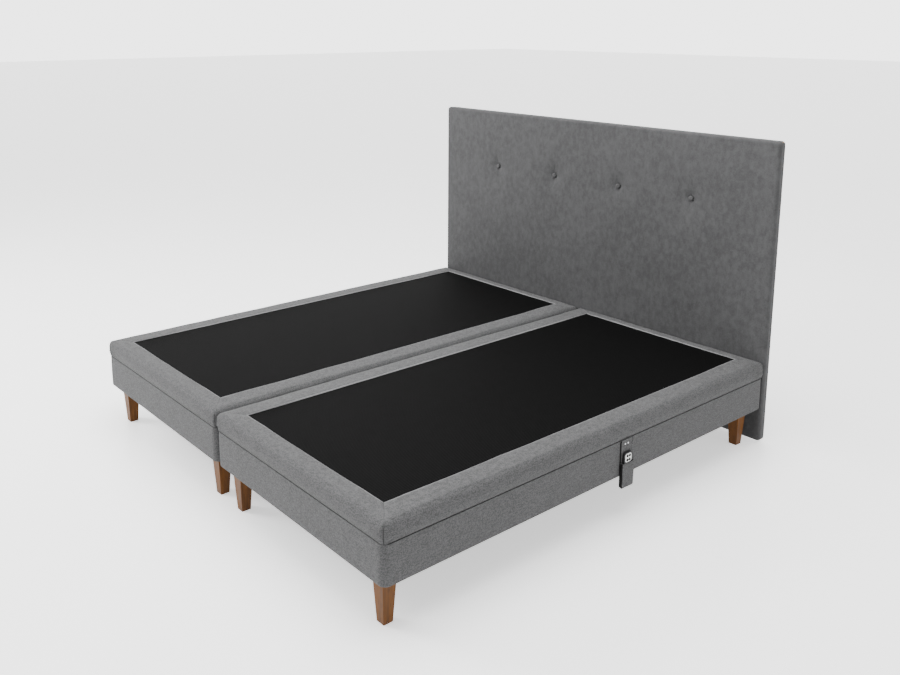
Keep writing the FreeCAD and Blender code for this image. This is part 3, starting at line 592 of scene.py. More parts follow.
def lay_patterns(obj):
    """Keeps each point's rest place and the two thread directions on the cloth itself."""
    mesh = obj.data
    rest = mesh.attributes.new("rest_place", "FLOAT_VECTOR", "POINT")
    rest.data.foreach_set("vector", [x for v in mesh.vertices for x in v.co])
    weave = mesh.uv_layers.new(name="weave")
    for face in mesh.polygons:
        slopes = [abs(x) for x in face.normal]
        across, along = (axis for axis in range(3) if axis != slopes.index(max(slopes)))
        for loop in face.loop_indices:
            co = mesh.vertices[mesh.loops[loop].vertex_index].co
            weave.data[loop].uv = (co[across], co[along])
    return obj


def fill_cover(obj, held, pressure, cap, frames):
    """Fills a sewn cover as cloth under pressure; held points stay, and no point moves past cap."""
    scene = bpy.context.scene
    group = obj.vertex_groups.new(name="held")
    group.add(held, 1.0, "REPLACE")
    before = [v.co.copy() for v in obj.data.vertices]
    cloth = obj.modifiers.new("filling", "CLOTH")
    cloth.settings.vertex_group_mass = "held"
    cloth.settings.quality = 3
    cloth.settings.mass = 0.3
    cloth.settings.tension_stiffness = 25
    cloth.settings.compression_stiffness = 25
    cloth.settings.bending_stiffness = 0.6
    cloth.settings.use_pressure = True
    cloth.settings.uniform_pressure_force = pressure
    cloth.settings.effector_weights.gravity = 0
    cloth.point_cache.frame_start = 1
    cloth.point_cache.frame_end = frames
    for step in range(1, frames + 1):
        scene.frame_set(step)
    shaped = obj.evaluated_get(bpy.context.evaluated_depsgraph_get()).data
    after = [v.co.copy() for v in shaped.vertices]
    obj.modifiers.remove(cloth)
    scene.frame_set(1)
    for v, old, new in zip(obj.data.vertices, before, after):
        move = new - old
        if move.length > cap:
            move *= cap / move.length
        v.co = old + move
    obj.vertex_groups.clear()
    return obj


FINISH = {}  # filled by finishes_ready, before the first piece


def settle(obj, body, patterns=True):
    """A finished piece rides on its body."""
    if patterns:
        lay_patterns(obj)
    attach(obj, body)
    return obj


# ---------------------------------------------------------------- the deck


DECK_FIELD = 0.3676
DECK_TOP = 0.3706
RIM_MIDDLE = 0.335
RIM_FOOT = 0.3042
RIM_HEM = 0.3060
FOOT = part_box("right_box_cover")[0].y
BACK_HINGE = FOOT + 1.240
THIGH_HINGE = FOOT + 1.000
KNEE_HINGE = FOOT + 0.600
SEAT_CUT = FOOT + 1.120
THIGH_CUT = FOOT + 0.800
# the cover's sections, with where each starts and ends along the bed
SECTIONS = (("back", SEAT_CUT, None), ("thigh", THIGH_CUT, SEAT_CUT), ("calf", None, THIGH_CUT))
# width of the rim band beside the field that takes the lighter cord finish, a painted highlight
CORD_HIGHLIGHT_WIDTH = 0.0052
CORD_REACH = 0.0012
LINE_FINE, LINE_COARSE, LINE_REACH = 0.004, 0.030, 0.12
PLEAT = 0.0155
SEAM_REACH = 0.0036
SEAM_PULL = 0.0034
TUCK_DEPTH = 0.0080
FILL_PRESSURE, FILL_CAP, FILL_FRAMES = 1.2, 0.0016, 8
FOLDS = (
    (KNEE_HINGE - 0.138, KNEE_HINGE + 0.142),
    (THIGH_HINGE - 0.108, THIGH_HINGE + 0.102),
    (BACK_HINGE - 0.128, BACK_HINGE + 0.132),
)


def rim_profile():
    """The rim from the field's edge: a sewn step, a flat crown, a round nose and the tucked foot."""
    loops = [(0, 0, DECK_FIELD), (0.004, 0.04, 0.3692), (0.013, 0.04, DECK_TOP)]
    loops += [(0.030, 0.04, DECK_TOP + 0.0006), (0.047, 0.04, DECK_TOP + 0.0001)]
    loops += [(0.058, 0.04, DECK_TOP - 0.0012), (0.075, 0.04, DECK_TOP - 0.0007)]
    nose, top, mid = 0.019, DECK_TOP - 0.0030, 0.0175
    for share in (0.14, 0.26, 0.38, 0.50, 0.62, 0.74, 0.87):
        loops.append((share, nose, DECK_TOP - 0.0004 - 0.0026 * share**2))
    steps = 10
    for k in range(steps + 1):
        turn = math.pi / 2 * k / steps
        loops.append((1, nose * (1 - math.sin(turn)), top - mid + mid * math.cos(turn)))
    loops += [(1, -0.0010, 0.3440), (1, -0.0016, 0.3370), (1, -0.0019, 0.3300), (1, -0.0016, 0.3230)]
    loops += [(1, -0.0007, 0.3170), (1, 0.0006, 0.3120)]
    loops += [(1, 0.0006, 0.3072), (1, 0.0008, 0.3046), (1, 0.0013, 0.3033), (1, 0.0032, 0.3027)]
    loops += [(1, 0.020, 0.3027), (1, 0.040, 0.3028), (1, 0.058, 0.3030)]
    return loops


def bunch(co, half, wrinkle):
    """How far the cloth stands out beside the sewn corners, with a slow swell along the rim."""
    x, y, z = co
    from_corner = math.hypot(max(half[0] - abs(x), 0), max(half[1] - abs(y), 0))
    low = part_of(0.362 - z, 0.03) * part_of(z - RIM_FOOT, 0.006)
    drift = 3.0 * noise.noise(Vector((x * 9, y * 9, z * 14)))
    run = (half[0] - abs(x)) if abs(y) > half[1] - 0.034 else (half[1] - abs(y))
    folds = math.sin((run * 0.86 + (z - 0.33) * 0.7) * 2 * math.pi / PLEAT + drift)
    near = math.exp(-((from_corner / 0.075) ** 2)) * part_of(from_corner, 0.012)
    swell = noise.noise(Vector((x * 5.5, y * 5.5, z * 9))) * 0.0010
    ripple = noise.noise(Vector((x * 23, y * 23, z * 18))) * 0.00035
    return low * (folds * near * wrinkle) + (swell + ripple) * part_of(z - RIM_FOOT, 0.01)


# the pads of the design that each section of the cover stands for
REPLACED = {
    "back": lambda side: (f"{side}_back_pad", f"{side}_seat_pad"),
    "thigh": lambda side: (f"{side}_thigh_pad",),
    "calf": lambda side: (f"{side}_calf_pad",),
}


def shape_rim(bm, half):
    """Draws the rim's cloth in along the mitres and lets it bunch and swell beside them."""
    s = sizes()
    mitre = bm.verts.layers.int.new("mitre")
    way = bm.verts.layers.float_vector["way"]
    bm.normal_update()
    moves = []
    for v in bm.verts:
        z = v.co.z
        reach = abs(abs(v[way].x) - half[0]) + abs(abs(v[way].y) - half[1])
        v[mitre] = reach < 1e-5 and z > 0.3032 and abs(v.co.x) > half[0] - s.side_band
        move = Vector((0, 0, 0))
        if v[mitre]:
            move = -v.normal * (0.0010 + TUCK_DEPTH * part_of(0.364 - z, 0.010))
        elif any(f.material_index for f in v.link_faces) and z > 0.3040:
            # the cloth lies flatter towards the middle of a long side
            swing = between(0, abs(v[way].x) + abs(v[way].y), 1)
            move = v.normal * bunch(v.co, half, s.wrinkle) * swing
            gap = reach / SEAM_REACH
            move -= v.normal * SEAM_PULL * math.exp(-gap * gap) * part_of(0.360 - z, 0.014)
        moves.append((v, move))
    for v, move in moves:
        v.co += move


def sew_deck(side):
    """The padded rim and the ribbed field of one unit, cut where the sections part."""
    s = sizes()
    half, centre = outline(f"{side}_box_cover")
    grid = (LINE_FINE, LINE_COARSE, LINE_REACH)
    folds = [(a - centre.y, b - centre.y) for a, b in FOLDS]
    lines_u = cloth_lines(s.side_band - half[0], half[0] - s.side_band, *grid, edge=CORD_REACH)
    lines_v = cloth_lines(s.foot_band - half[1], half[1] - s.head_band, *grid, folds, edge=CORD_REACH)
    bm = sew(lines_u, lines_v, half, s.rim_corner, rim_profile())
    face_up(bm, away_from(Vector((0, 0, RIM_MIDDLE))))
    shape_rim(bm, half)
    for v in bm.verts:
        v.co += centre
    rim = only(bm, lambda f: f.material_index == 1)
    field = only(bm, lambda f: f.material_index == 0)
    root = rim.verts.layers.float_vector["root"]
    # rim faces within that width of the field's edge take the lighter cord finish: painted highlight
    for f in rim.faces:
        f.material_index = all((v.co - centre - v[root]).xy.length < CORD_HIGHLIGHT_WIDTH for v in f.verts)
    for f in field.faces:
        f.material_index = any(v.is_boundary for v in f.verts)
    bm.free()
    rim.verts.ensure_lookup_table()
    rim.verts.index_update()
    rim = fill_rim(side, rim)
    covers = (("rim", rim, "grey_fabric", "cord_painted_highlight"), ("field", field, "deck_mesh", "black_tape"))
    for section, start, end in SECTIONS:
        for kind, whole, slot, edge in covers:
            finishes = [FINISH[slot], FINISH[edge]]
            piece = to_object(f"{side}_{kind}_{section}", slice_between(whole, start, end), finishes)
            lay_patterns(piece)
            bend(piece, section)
            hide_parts(*REPLACED[section](side))
    rim.free()
    field.free()


def bend(piece, section):
    """Bakes the section's placement into its mesh; the cloth is not bent over its hinge."""
    if section == "back":
        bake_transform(piece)
    elif section == "thigh":
        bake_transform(piece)
    else:
        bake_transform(piece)


def fill_rim(side, rim):
    """The rim is filled as cloth over its foam, held at its seams and its open edges."""
    mitre = rim.verts.layers.int["mitre"]
    held = [v.index for v in rim.verts if v[mitre] or v.is_boundary or v.co.z < RIM_HEM]
    obj = to_object(f"{side}_rim_whole", rim, [FINISH["grey_fabric"], FINISH["cord_painted_highlight"]])
    fill_cover(obj, held, FILL_PRESSURE, FILL_CAP, FILL_FRAMES)
    bm = bmesh.new()
    bm.from_mesh(obj.data)
    bpy.data.objects.remove(obj)
    return bm


# ---------------------------------------------------------------- the boxes


BOX_TOP = 0.3000
BOX_BOTTOM = 0.1650
BOX_MIDDLE = (BOX_TOP + BOX_BOTTOM) / 2


def box_profile():
    """The fabric round a box, from its folded top edge to its folded bottom edge."""
    top, bottom = BOX_TOP, BOX_BOTTOM
    loops = [(1, 0.027, top), (1, 0.012, top + 0.0003), (1, 0.0026, top + 0.0004)]
    loops += [(1, 0.0008, top + 0.0001), (1, 0.0002, top - 0.0008), (1, 0, top - 0.0024)]
    rows = 16
    for k in range(1, rows):
        share = k / rows
        height = top - 0.004 - share * (top - bottom - 0.008)
        loops.append((1, -0.0007 * math.sin(math.pi * share), height))
    loops += [(1, 0, bottom + 0.0040), (1, 0.0005, bottom + 0.0018), (1, 0.0016, bottom + 0.0006)]
    loops += [(1, 0.0040, bottom), (1, 0.012, bottom - 0.0002), (1, 0.027, bottom - 0.0002)]
    return loops


def wrap_box(side):
    """The woven fabric pulled round one box."""
    s = sizes()
    half, centre = outline(f"{side}_box_cover")
    lines_u = cloth_lines(-half[0], half[0], 0.004, 0.025, 0.05)
    lines_v = cloth_lines(-half[1], half[1], 0.004, 0.025, 0.05)
    bm = sew(lines_u, lines_v, half, s.corner, box_profile(), field=False)
    face_up(bm, away_from(Vector((0, 0, BOX_MIDDLE))))
    bm.normal_update()
    moves = []
    for v in bm.verts:
        middle = part_of(v.co.z - 0.168, 0.012) * part_of(0.297 - v.co.z, 0.012)
        pull = noise.noise(Vector((v.co.x * 3.1, v.co.y * 3.1, v.co.z * 9 + 4)))
        tug = noise.noise(Vector((v.co.x * 14, v.co.y * 14, v.co.z * 4)))
        moves.append((v, v.normal * middle * (pull * 0.0009 + tug * 0.0003)))
    for v, move in moves:
        v.co += move + centre
    piece = to_object(f"{side}_box_fabric", bm, [FINISH["grey_fabric"]])
    settle(piece, "base")
    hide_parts(f"{side}_box_cover")


# ---------------------------------------------------------------- the headboard


BUTTON_HEIGHT = 1.003
BUTTON_PLACES = [(x, BUTTON_HEIGHT) for x in (-0.6, -0.2, 0.2, 0.6)]
BUTTON_RADIUS = 0.0120
DIMPLE_REACH = 0.30
COVER_SEAM = 0.014
COVER_CORNER = 0.016
COVER_DEEPEST = 0.0022


def headboard_profile(depth, back):
    """The cover from the flat front over a round edge, along the side and round to the back."""
    loops = [(0, 0, depth)]
    loops += [(0.5, 0.011, depth), (1, 0.011, depth - 0.0002), (1, 0.0072, depth - 0.0008)]
    loops += [(1, 0.0040, depth - 0.0026), (1, 0.0017, depth - 0.0054), (1, 0.0003, depth - 0.0090)]
    loops += [(1, -0.0006, depth - 0.0120), (1, -0.0008, depth - 0.0160), (1, -0.0004, depth - 0.0200)]
    loops += [(1, 0.0002, depth - 0.0240), (1, 0.0003, depth - 0.0300), (1, 0.0004, back + 0.0020)]
    loops += [(1, 0.0012, back + 0.0006), (1, 0.0030, back), (1, 0.0150, back), (1, 0.0420, back)]
    return loops


def pulled_in(x, z, deep):
    """How far the buttons pull the padding in at a place on the front."""
    pull = 0.0
    for k, (bx, bz) in enumerate(BUTTON_PLACES):
        dx, dz = x - bx, z - bz
        away = math.hypot(dx, dz)
        if away < DIMPLE_REACH:
            # the pull is a sharp funnel in a wide soft hollow, with one upright and one level crease
            lean = 0.12 * dz * (1 if k % 2 else -1)
            crease = math.exp(-abs(dx - lean) / 0.011) * math.exp(-((dz / 0.060) ** 2))
            side = math.exp(-abs(dz + 0.2 * dx) / 0.010) * math.exp(-((dx / 0.030) ** 2))
            pull += deep * (0.60 * math.exp(-away / 0.018) + 0.34 * math.exp(-((away / 0.075) ** 2)))
            pull += deep * (0.26 * crease + 0.12 * side)
    return pull


def upholster_headboard():
    """The velvet cover over the headboard's padding, with its dimples and creases."""
    s = sizes()
    low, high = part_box("headboard_pad")
    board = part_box("headboard_board")[1]
    half = ((high.x - low.x) / 2 + 0.0004, (high.z - low.z) / 2)
    centre = Vector(((high.x + low.x) / 2, high.y, (high.z + low.z) / 2))
    depth, back = high.y - low.y, high.y - board.y - 0.0008
    near_u = [(x - 0.05, x + 0.05) for x, _ in BUTTON_PLACES]
    near_v = [(BUTTON_HEIGHT - centre.z - 0.07, BUTTON_HEIGHT - centre.z + 0.07)]
    edge_u, edge_v = half[0] - COVER_SEAM, half[1] - COVER_SEAM
    lines_u = cloth_lines(COVER_SEAM - half[0], edge_u, 0.004, 0.010, 0.02, near_u, 0.004)
    lines_v = cloth_lines(COVER_SEAM - half[1], edge_v, 0.004, 0.010, 0.02, near_v, 0.004)
    bm = sew(lines_u, lines_v, half, COVER_CORNER, headboard_profile(depth, back))
    face_up(bm, away_from(Vector((0, 0, 0))))
    for v in bm.verts:
        x, z = v.co.x, v.co.y + centre.z
        if v.co.z > depth - 0.004:
            front = part_of(half[0] - abs(x) - 0.004, 0.05) * part_of(half[1] - abs(v.co.y) - 0.004, 0.05)
            slow = noise.noise(Vector((x * 2.3, z * 2.3, 7))) * 0.0011
            quick = noise.noise(Vector((x * 11, z * 11, 3))) * 0.00035
            v.co.z += front * (slow + quick + 0.0006) - pulled_in(x, z, s.dimple)
        elif abs(x) > half[0] - 0.005:
            v.co.x += math.copysign(noise.noise(Vector((x, z * 7, v.co.z * 20))) * 0.0005, x)
    seat = Matrix.Translation(centre) @ Matrix.Rotation(math.pi / 2, 4, "X")
    bmesh.ops.transform(bm, matrix=seat, verts=bm.verts[:])
    piece = to_object("headboard_cover", bm, [FINISH["headboard_fabric"]] * 2)  # front and sides
    for v in piece.data.vertices:
        v.co.y = max(v.co.y, low.y - COVER_DEEPEST)
    settle(piece, "base")
    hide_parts("headboard_pad")


def cover_button(x, z):
    """One button: a domed shell, its fabric gathered in pleats at the edge."""
    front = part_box("headboard_pad")[0].y
    bm = bmesh.new()
    bmesh.ops.create_circle(bm, cap_ends=True, segments=36, radius=BUTTON_RADIUS * 0.30)
    for v in bm.verts:
        v.co.z = 0.0047
    edges = [e for e in bm.edges if e.is_boundary]
    dome = ((0.55, 0.0042), (0.76, 0.0034), (0.90, 0.0022), (0.98, 0.0008))
    dome += ((1.0, -0.0008), (0.95, -0.0024), (0.80, -0.0036))
    for share, height in dome:
        points, edges, _ = grow(bm, edges)
        for v in points:
            turn = math.atan2(v.co.y, v.co.x)
            pleat = 1 + 0.022 * math.sin(turn * 12) * part_of(share - 0.6, 0.3)
            v.co = Vector((math.cos(turn), math.sin(turn), 0)) * (BUTTON_RADIUS * share * pleat)
            v.co.z = height
    bmesh.ops.recalc_face_normals(bm, faces=bm.faces[:])
    up = Vector((0, 0, 1))
    face_up(bm, lambda f: up if f.calc_center_median().z > 0 else f.calc_center_median())
    seat = Matrix.Translation((x, front + 0.0070, z)) @ Matrix.Rotation(math.pi / 2, 4, "X")
    bmesh.ops.transform(bm, matrix=seat, verts=bm.verts[:])
    return bm


def cover_buttons():
    """The four buttons as one piece."""
    whole = bmesh.new()
    for x, z in BUTTON_PLACES:
        button = cover_button(x, z)
        mesh = bpy.data.meshes.new("button")
        button.to_mesh(mesh)
        button.free()
        whole.from_mesh(mesh)
        bpy.data.meshes.remove(mesh)
    piece = to_object("covered_buttons", whole, [FINISH["headboard_fabric"]])
    settle(piece, "base")
    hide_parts("headboard_buttons")


# ---------------------------------------------------------------- hidden cloths


DUST_INSET = 0.010
DUST_HEIGHT = 0.16445
DUST_SAG = 0.0024
BACK_CLOTH_INSET = 0.026
STAPLE_UNDER = (0.0100, 0.0012, 0.0007, 1.0)
STAPLE_BEHIND = (0.0100, 0.0009, 0.0012, 1.0)


def staple_row(bm, start, end, count, upright):
    """Crowns of small wire staples from start to end, each turned a little."""
    run = Vector(end) - Vector(start)
    size = Matrix.Diagonal(STAPLE_BEHIND if upright == "Y" else STAPLE_UNDER)
    turned = Matrix.Rotation(math.pi / 2, 4, upright) if abs(run.x) < 0.01 else Matrix.Identity(4)
    for k in range(count):
        spot = Vector(start) + run * ((k + 0.5) / count)
        made = bmesh.ops.create_cube(bm, size=1.0)["verts"]
        lean = Matrix.Rotation(0.12 * math.sin(k * 2.4), 4, upright)
        bmesh.ops.transform(bm, matrix=Matrix.Translation(spot) @ lean @ turned @ size, verts=made)


def stretch_dust_cloth(side, wires):
    """The black cloth under one box and its staples."""
    low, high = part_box(f"{side}_box_cover")
    width, length = high.x - low.x - 2 * DUST_INSET, high.y - low.y - 2 * DUST_INSET
    bm = bmesh.new()
    bmesh.ops.create_grid(bm, x_segments=40, y_segments=80, size=1.0)
    for v in bm.verts:
        x, y = v.co.x, v.co.y
        sag = max(0, (1 - x**4) * (1 - y**8)) * DUST_SAG
        fold = noise.noise(Vector((x * 5, y * 9, 2))) * 0.0005 * (1 - x**6)
        v.co.x = (low.x + high.x) / 2 + x * width / 2
        v.co.y = (low.y + high.y) / 2 + y * length / 2
        v.co.z = DUST_HEIGHT - sag + fold
    bmesh.ops.reverse_faces(bm, faces=bm.faces[:])
    cloth = to_object(f"{side}_dust_cloth", bm, [FINISH["black_cloth"]])
    settle(cloth, "base")
    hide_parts("dust_cloths")
    z, edge, end = 0.1640, 0.016, 0.03
    for y in (low.y + edge, high.y - edge):
        staple_row(wires, (low.x + end, y, z), (high.x - end, y, z), 16, "Z")
    for x in (low.x + edge, high.x - edge):
        staple_row(wires, (x, low.y + end, z), (x, high.y - end, z), 32, "Z")


def stretch_back_cloth(wires):
    """The black cloth on the headboard's back, with its hem and its staples."""
    low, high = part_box("headboard_pad")
    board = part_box("headboard_board")[1]
    width = high.x - low.x - 2 * BACK_CLOTH_INSET
    height = high.z - low.z - 2 * BACK_CLOTH_INSET
    bm = bmesh.new()
    bmesh.ops.create_grid(bm, x_segments=80, y_segments=50, size=1.0)
    for v in bm.verts:
        x, z = v.co.x, v.co.y
        wave = noise.noise(Vector((x * 8, z * 5, 5))) * 0.0005 * (1 - x**8) * (1 - z**8)
        hem = 0.0004 * (max(abs(x), abs(z)) > 0.985)
        v.co.x = x * width / 2
        v.co.y = board.y + 0.0016 + wave + hem
        v.co.z = (low.z + high.z) / 2 + z * height / 2
    bmesh.ops.reverse_faces(bm, faces=bm.faces[:])
    cloth = to_object("headboard_back_cloth", bm, [FINISH["black_cloth"]])
    if cloth.data.polygons[0].normal.y < 0:
        cloth.data.flip_normals()
    settle(cloth, "base")
    y, edge, end = board.y + 0.0026, 0.034, 0.04
    for z in (low.z + edge, high.z - edge):
        staple_row(wires, (low.x + end, y, z), (high.x - end, y, z), 34, "Y")
    for x in (low.x + edge, high.x - edge):
        staple_row(wires, (x, y, low.z + end), (x, y, high.z - end), 22, "Y")


def stretch_cloths():
    """The black cloths under the boxes and on the headboard's back, and their staples."""
    wires = bmesh.new()
    for side in SIDES:
        stretch_dust_cloth(side, wires)
    stretch_back_cloth(wires)
    staples = to_object("staples", wires, [FINISH["zinc_steel"]])
    for f in staples.data.polygons:
        f.use_smooth = False
    settle(staples, "base", patterns=False)


# ---------------------------------------------------------------- the pouch and the handset


STRAP_TOP = 0.3018
STRAP_EDGE = 0.006
STRAP_CORNER = 0.0085
TAB_HEIGHT = 0.3023
TAB_FLAT = 0.70
POCKET_CORNER = 0.0040
STITCH_PITCH = 0.0043


def strap_layout():
    """Half the size of the strap, its middle, and where its back and its face lie."""
    low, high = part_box("pouch_strap")
    half = ((high.y - low.y) / 2, (STRAP_TOP - low.z) / 2)
    centre = Vector((0, (high.y + low.y) / 2, (STRAP_TOP + low.z) / 2))
    return half, centre, low.x, high.x


def sew_strap():
    """The stiff strap with its bound edge."""
    half, centre, _, face = strap_layout()
    stand = Matrix(((0, 0, 1, 0), (1, 0, 0, centre.y), (0, 1, 0, centre.z), (0, 0, 0, 1)))
    edge_u, edge_v = half[0] - STRAP_EDGE, half[1] - STRAP_EDGE
    lines_u = cloth_lines(STRAP_EDGE - half[0], edge_u, 0.0015, 0.004, 0.006)
    lines_v = cloth_lines(STRAP_EDGE - half[1], edge_v, 0.0015, 0.005, 0.006)
    loops = [(0, 0, face - 0.0002), (0.5, 0.0045, face - 0.0002), (1, 0.0046, face - 0.0004)]
    loops += [(1, 0.0044, face + 0.0002), (1, 0.0030, face + 0.0005), (1, 0.0012, face + 0.0003)]
    loops += [(1, 0.0002, face - 0.0006), (1, 0.0, face - 0.0014), (1, 0.0004, face - 0.0026)]
    loops += [(1, 0.0030, face - 0.0029)]
    bm = sew(lines_u, lines_v, half, STRAP_CORNER, loops)
    face_up(bm, away_from(Vector((0, 0, face - 0.0015))))
    for f in bm.faces:
        f.material_index = f.calc_center_median().x < 0.0046 - half[0]
    bmesh.ops.transform(bm, matrix=stand, verts=bm.verts[:])
    strap = to_object("pouch_strap_cloth", bm, [FINISH["grey_fabric"], FINISH["black_tape"]])
    settle(strap, "base")
    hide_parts("pouch_strap")


def sew_tab():
    """The tab that holds the strap in the seam: flat between rim and box, then turned down."""
    half, centre, back, face = strap_layout()
    run = (face - 0.0006 - back) * 0.90
    tab = bmesh.new()
    bmesh.ops.create_grid(tab, x_segments=20, y_segments=8, size=1.0)
    for v in tab.verts:
        along = (v.co.x + 1) / 2
        turn = part_of(along - TAB_FLAT, 1 - TAB_FLAT) * math.pi / 2
        x = back + min(along, TAB_FLAT) * run + 0.0058 * math.sin(turn)
        drop = 0.0048 * (1 - math.cos(turn))
        v.co = Vector((x, centre.y + v.co.y * (half[0] - 0.002), TAB_HEIGHT - drop))
    bmesh.ops.solidify(tab, geom=tab.faces[:], thickness=0.0011)
    bmesh.ops.recalc_face_normals(tab, faces=tab.faces[:])
    settle(to_object("pouch_tab", tab, [FINISH["grey_fabric"]]), "base")


def sew_pouch():
    """The strap, its tab, the pocket and their stitches."""
    sew_strap()
    sew_tab()
    sew_pocket()
    sew_stitches()


def sew_pocket():
    """The pocket: one cloth round the handset, rounded at its bottom and hemmed at its mouth."""
    half, centre = outline("pouch_pocket")
    bottom, top = (corner.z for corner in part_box("pouch_pocket"))
    lines_u = cloth_lines(-half[0], half[0], 0.0012, 0.0024, 0.004)
    lines_v = cloth_lines(-half[1], half[1], 0.0012, 0.0040, 0.008)
    loops = [(1, 0.0022, top - 0.0090), (1, 0.0023, top - 0.0012), (1, 0.0016, top), (1, 0.0004, top)]
    loops += [(1, -0.0002, top - 0.0012), (1, 0.0, top - 0.0060)]
    loops += [(1, 0.0005, top - 0.0072), (1, 0.0003, top - 0.0086)]
    rows = 12
    for k in range(1, rows):
        share = k / rows
        height = top - 0.0086 + share * (bottom + 0.0064 - top + 0.0086)
        loops.append((1, 0.0006 - 0.0006 * math.sin(math.pi * share), height))
    steps = 6
    for k in range(steps):
        turn = math.pi / 2 * k / steps
        height = bottom + 0.0060 * (1 - math.sin(turn))
        loops.append((1, 0.0008 + 0.0026 * (1 - math.cos(turn)), height))
    bm = sew(lines_u, lines_v, half, POCKET_CORNER, loops, field=False)
    rim = [e for e in bm.edges if e.is_boundary and e.verts[0].co.z < bottom + 0.003]
    bmesh.ops.holes_fill(bm, edges=rim, sides=0)
    bmesh.ops.recalc_face_normals(bm, faces=bm.faces[:])
    face_up(bm, away_from(Vector((0, 0, (top + bottom) / 2))))
    bm.normal_update()
    for v in bm.verts:
        if v.co.x > half[0] - 0.004:
            sag = noise.noise(Vector((v.co.y * 30, v.co.z * 24, 9))) * 0.0009
            v.co.x += sag * part_of(top - v.co.z, 0.02) - 0.0006
    for f in bm.faces:
        f.material_index = abs(f.normal.y) > 0.72 and f.calc_center_median().y < 0
    for v in bm.verts:
        v.co += centre
    pocket = to_object("pouch_pocket_cloth", bm, [FINISH["grey_fabric"], FINISH["black_tape"]])
    settle(pocket, "base")
    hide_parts("pouch_pocket")


def stitch(bm, spot, size):
    """One short stitch of thread."""
    made = bmesh.ops.create_cube(bm, size=1.0)["verts"]
    seat = Matrix.Translation(spot) @ Matrix.Diagonal((*size, 1.0))
    bmesh.ops.transform(bm, matrix=seat, verts=made)


def sew_stitches():
    """Thread down the strap's edge, across the strap and under the pocket's mouth."""
    half, centre, _, face = strap_layout()
    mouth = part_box("pouch_pocket")[1]
    bm = bmesh.new()
    for k in range(7):
        spot = (face + 0.0004, centre.y + half[0] - 0.0022, 0.2995 - k * 0.0042)
        stitch(bm, spot, (0.0010, 0.0020, 0.0034))
    row = [centre.y - half[0] + 0.0085 + k * STITCH_PITCH for k in range(13)]
    for y in row:
        stitch(bm, (face + 0.0001, y, 0.2795), (0.0006, 0.0027, 0.0006))
    for y in row:
        stitch(bm, (mouth.x - 0.0003, y, mouth.z - 0.0068), (0.0007, 0.0027, 0.0006))
    piece = to_object("pouch_stitches", bm, [FINISH["black_tape"]])
    bevel = piece.modifiers.new("soft_ends", "BEVEL")
    bevel.affect = "EDGES"
    bevel.width = 0.00018
    bevel.segments = 2
    bevel.profile = 0.5
    bevel.material = -1
    settle(piece, "base")


def dress_handset():
    """The rubber key on the handset's side, which the design leaves out."""
    low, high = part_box("remote_case")
    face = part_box("remote_face")
    bm = bmesh.new()
    made = bmesh.ops.create_cube(bm, size=1.0)["verts"]
    height = (face[0].z + face[1].z) / 2 - 0.008
    spot = Matrix.Translation(((low.x + high.x) / 2 + 0.0012, high.y + 0.0006, height))
    bmesh.ops.transform(bm, matrix=spot @ Matrix.Diagonal((0.0060, 0.0036, 0.0080, 1)), verts=made)
    bmesh.ops.bevel(
        bm, geom=bm.edges[:], offset=0.0011, segments=3, profile=0.5, affect="EDGES", material=-1
    )
    key = to_object("handset_side_key", bm, [FINISH["key_rubber"]])
    settle(key, "remote", patterns=False)


# ---------------------------------------------------------------- the frame's own pieces


def dress_frame():
    """Every node of the frame takes the finish of its slot."""
    for part in frame["record"]["subparts"]:
        node = frame["nodes"][part["node"]]
        node.data.materials.clear()
        node.data.materials.append(FINISH[part["material_slot"]])


# ---------------------------------------------------------------- the stage


UP = (0, 0, 1)
DARK_GAP = (0.7071, -0.7071, 0)
BRIGHT_WALL = (-0.77, 0.638, 0)
FLOOR_SIZE = 40.0
CAMERA_PLACE = (2.9236, FOOT - 1.455, 1.7669)
CAMERA_DOWN = 11.06
CAMERA_TURN = 50.33
CAMERA_LENS = 37.25
CAMERA_SENSOR = 36.0
CAMERA_SHIFT = (0.0333, -0.15)


def lay_floor():
    """A pale floor that glows a little."""
    finish = Finish(
        "studio_floor", Roughness=0.30, Specular_IOR_Level=0.3, Emission_Strength=studio().glow
    )
    finish.shader.inputs["Emission Color"].default_value = (1, 1, 1, 1)
    dust = finish.speckle(finish.place(), 3.0, 2.0)
    tone = finish.blend(dust, (0.86, 0.86, 0.86, 1), (0.88, 0.88, 0.88, 1))
    bm = bmesh.new()
    bmesh.ops.create_grid(bm, x_segments=2, y_segments=2, size=FLOOR_SIZE)
    to_object("floor", bm, [finish.use(Base_Color=tone)])


def light_surround():
    """Even walls of light, with a dark gap between two of them and a brighter one behind."""
    world = bpy.data.worlds.new("surround")
    world.use_nodes = True
    sky = Nodes(world.node_tree)
    way = sky.add("ShaderNodeTexCoord", {}, {}, "Generated")

    def towards(direction):
        dot = {"operation": "DOT_PRODUCT"}
        return sky.add("ShaderNodeVectorMath", dot, {0: way, 1: direction}, "Value")

    light = 1 - towards(UP).ramp(0.22, 0.60) * (1 - studio().ceiling)
    light = light * (1 - towards(DARK_GAP).ramp(0.62, 0.97) * studio().gap)
    light = light * (1 + towards(BRIGHT_WALL).ramp(0.1, 0.85) * studio().wall)
    background = sky.tree.nodes["Background"]
    sky.tree.links.new(light.socket, background.inputs["Color"])
    background.inputs["Strength"].default_value = studio().sky
    bpy.context.scene.world = world


def hang_lamp(name, place, aim, size, power):
    """One large soft light, turned towards a place."""
    lamp = bpy.data.lights.new(name, "AREA")
    lamp.size = size
    lamp.energy = power
    light = bpy.data.objects.new(name, lamp)
    light.location = place
    light.rotation_euler = (Vector(aim) - Vector(place)).to_track_quat("-Z", "Y").to_euler()
    bpy.context.scene.collection.objects.link(light)


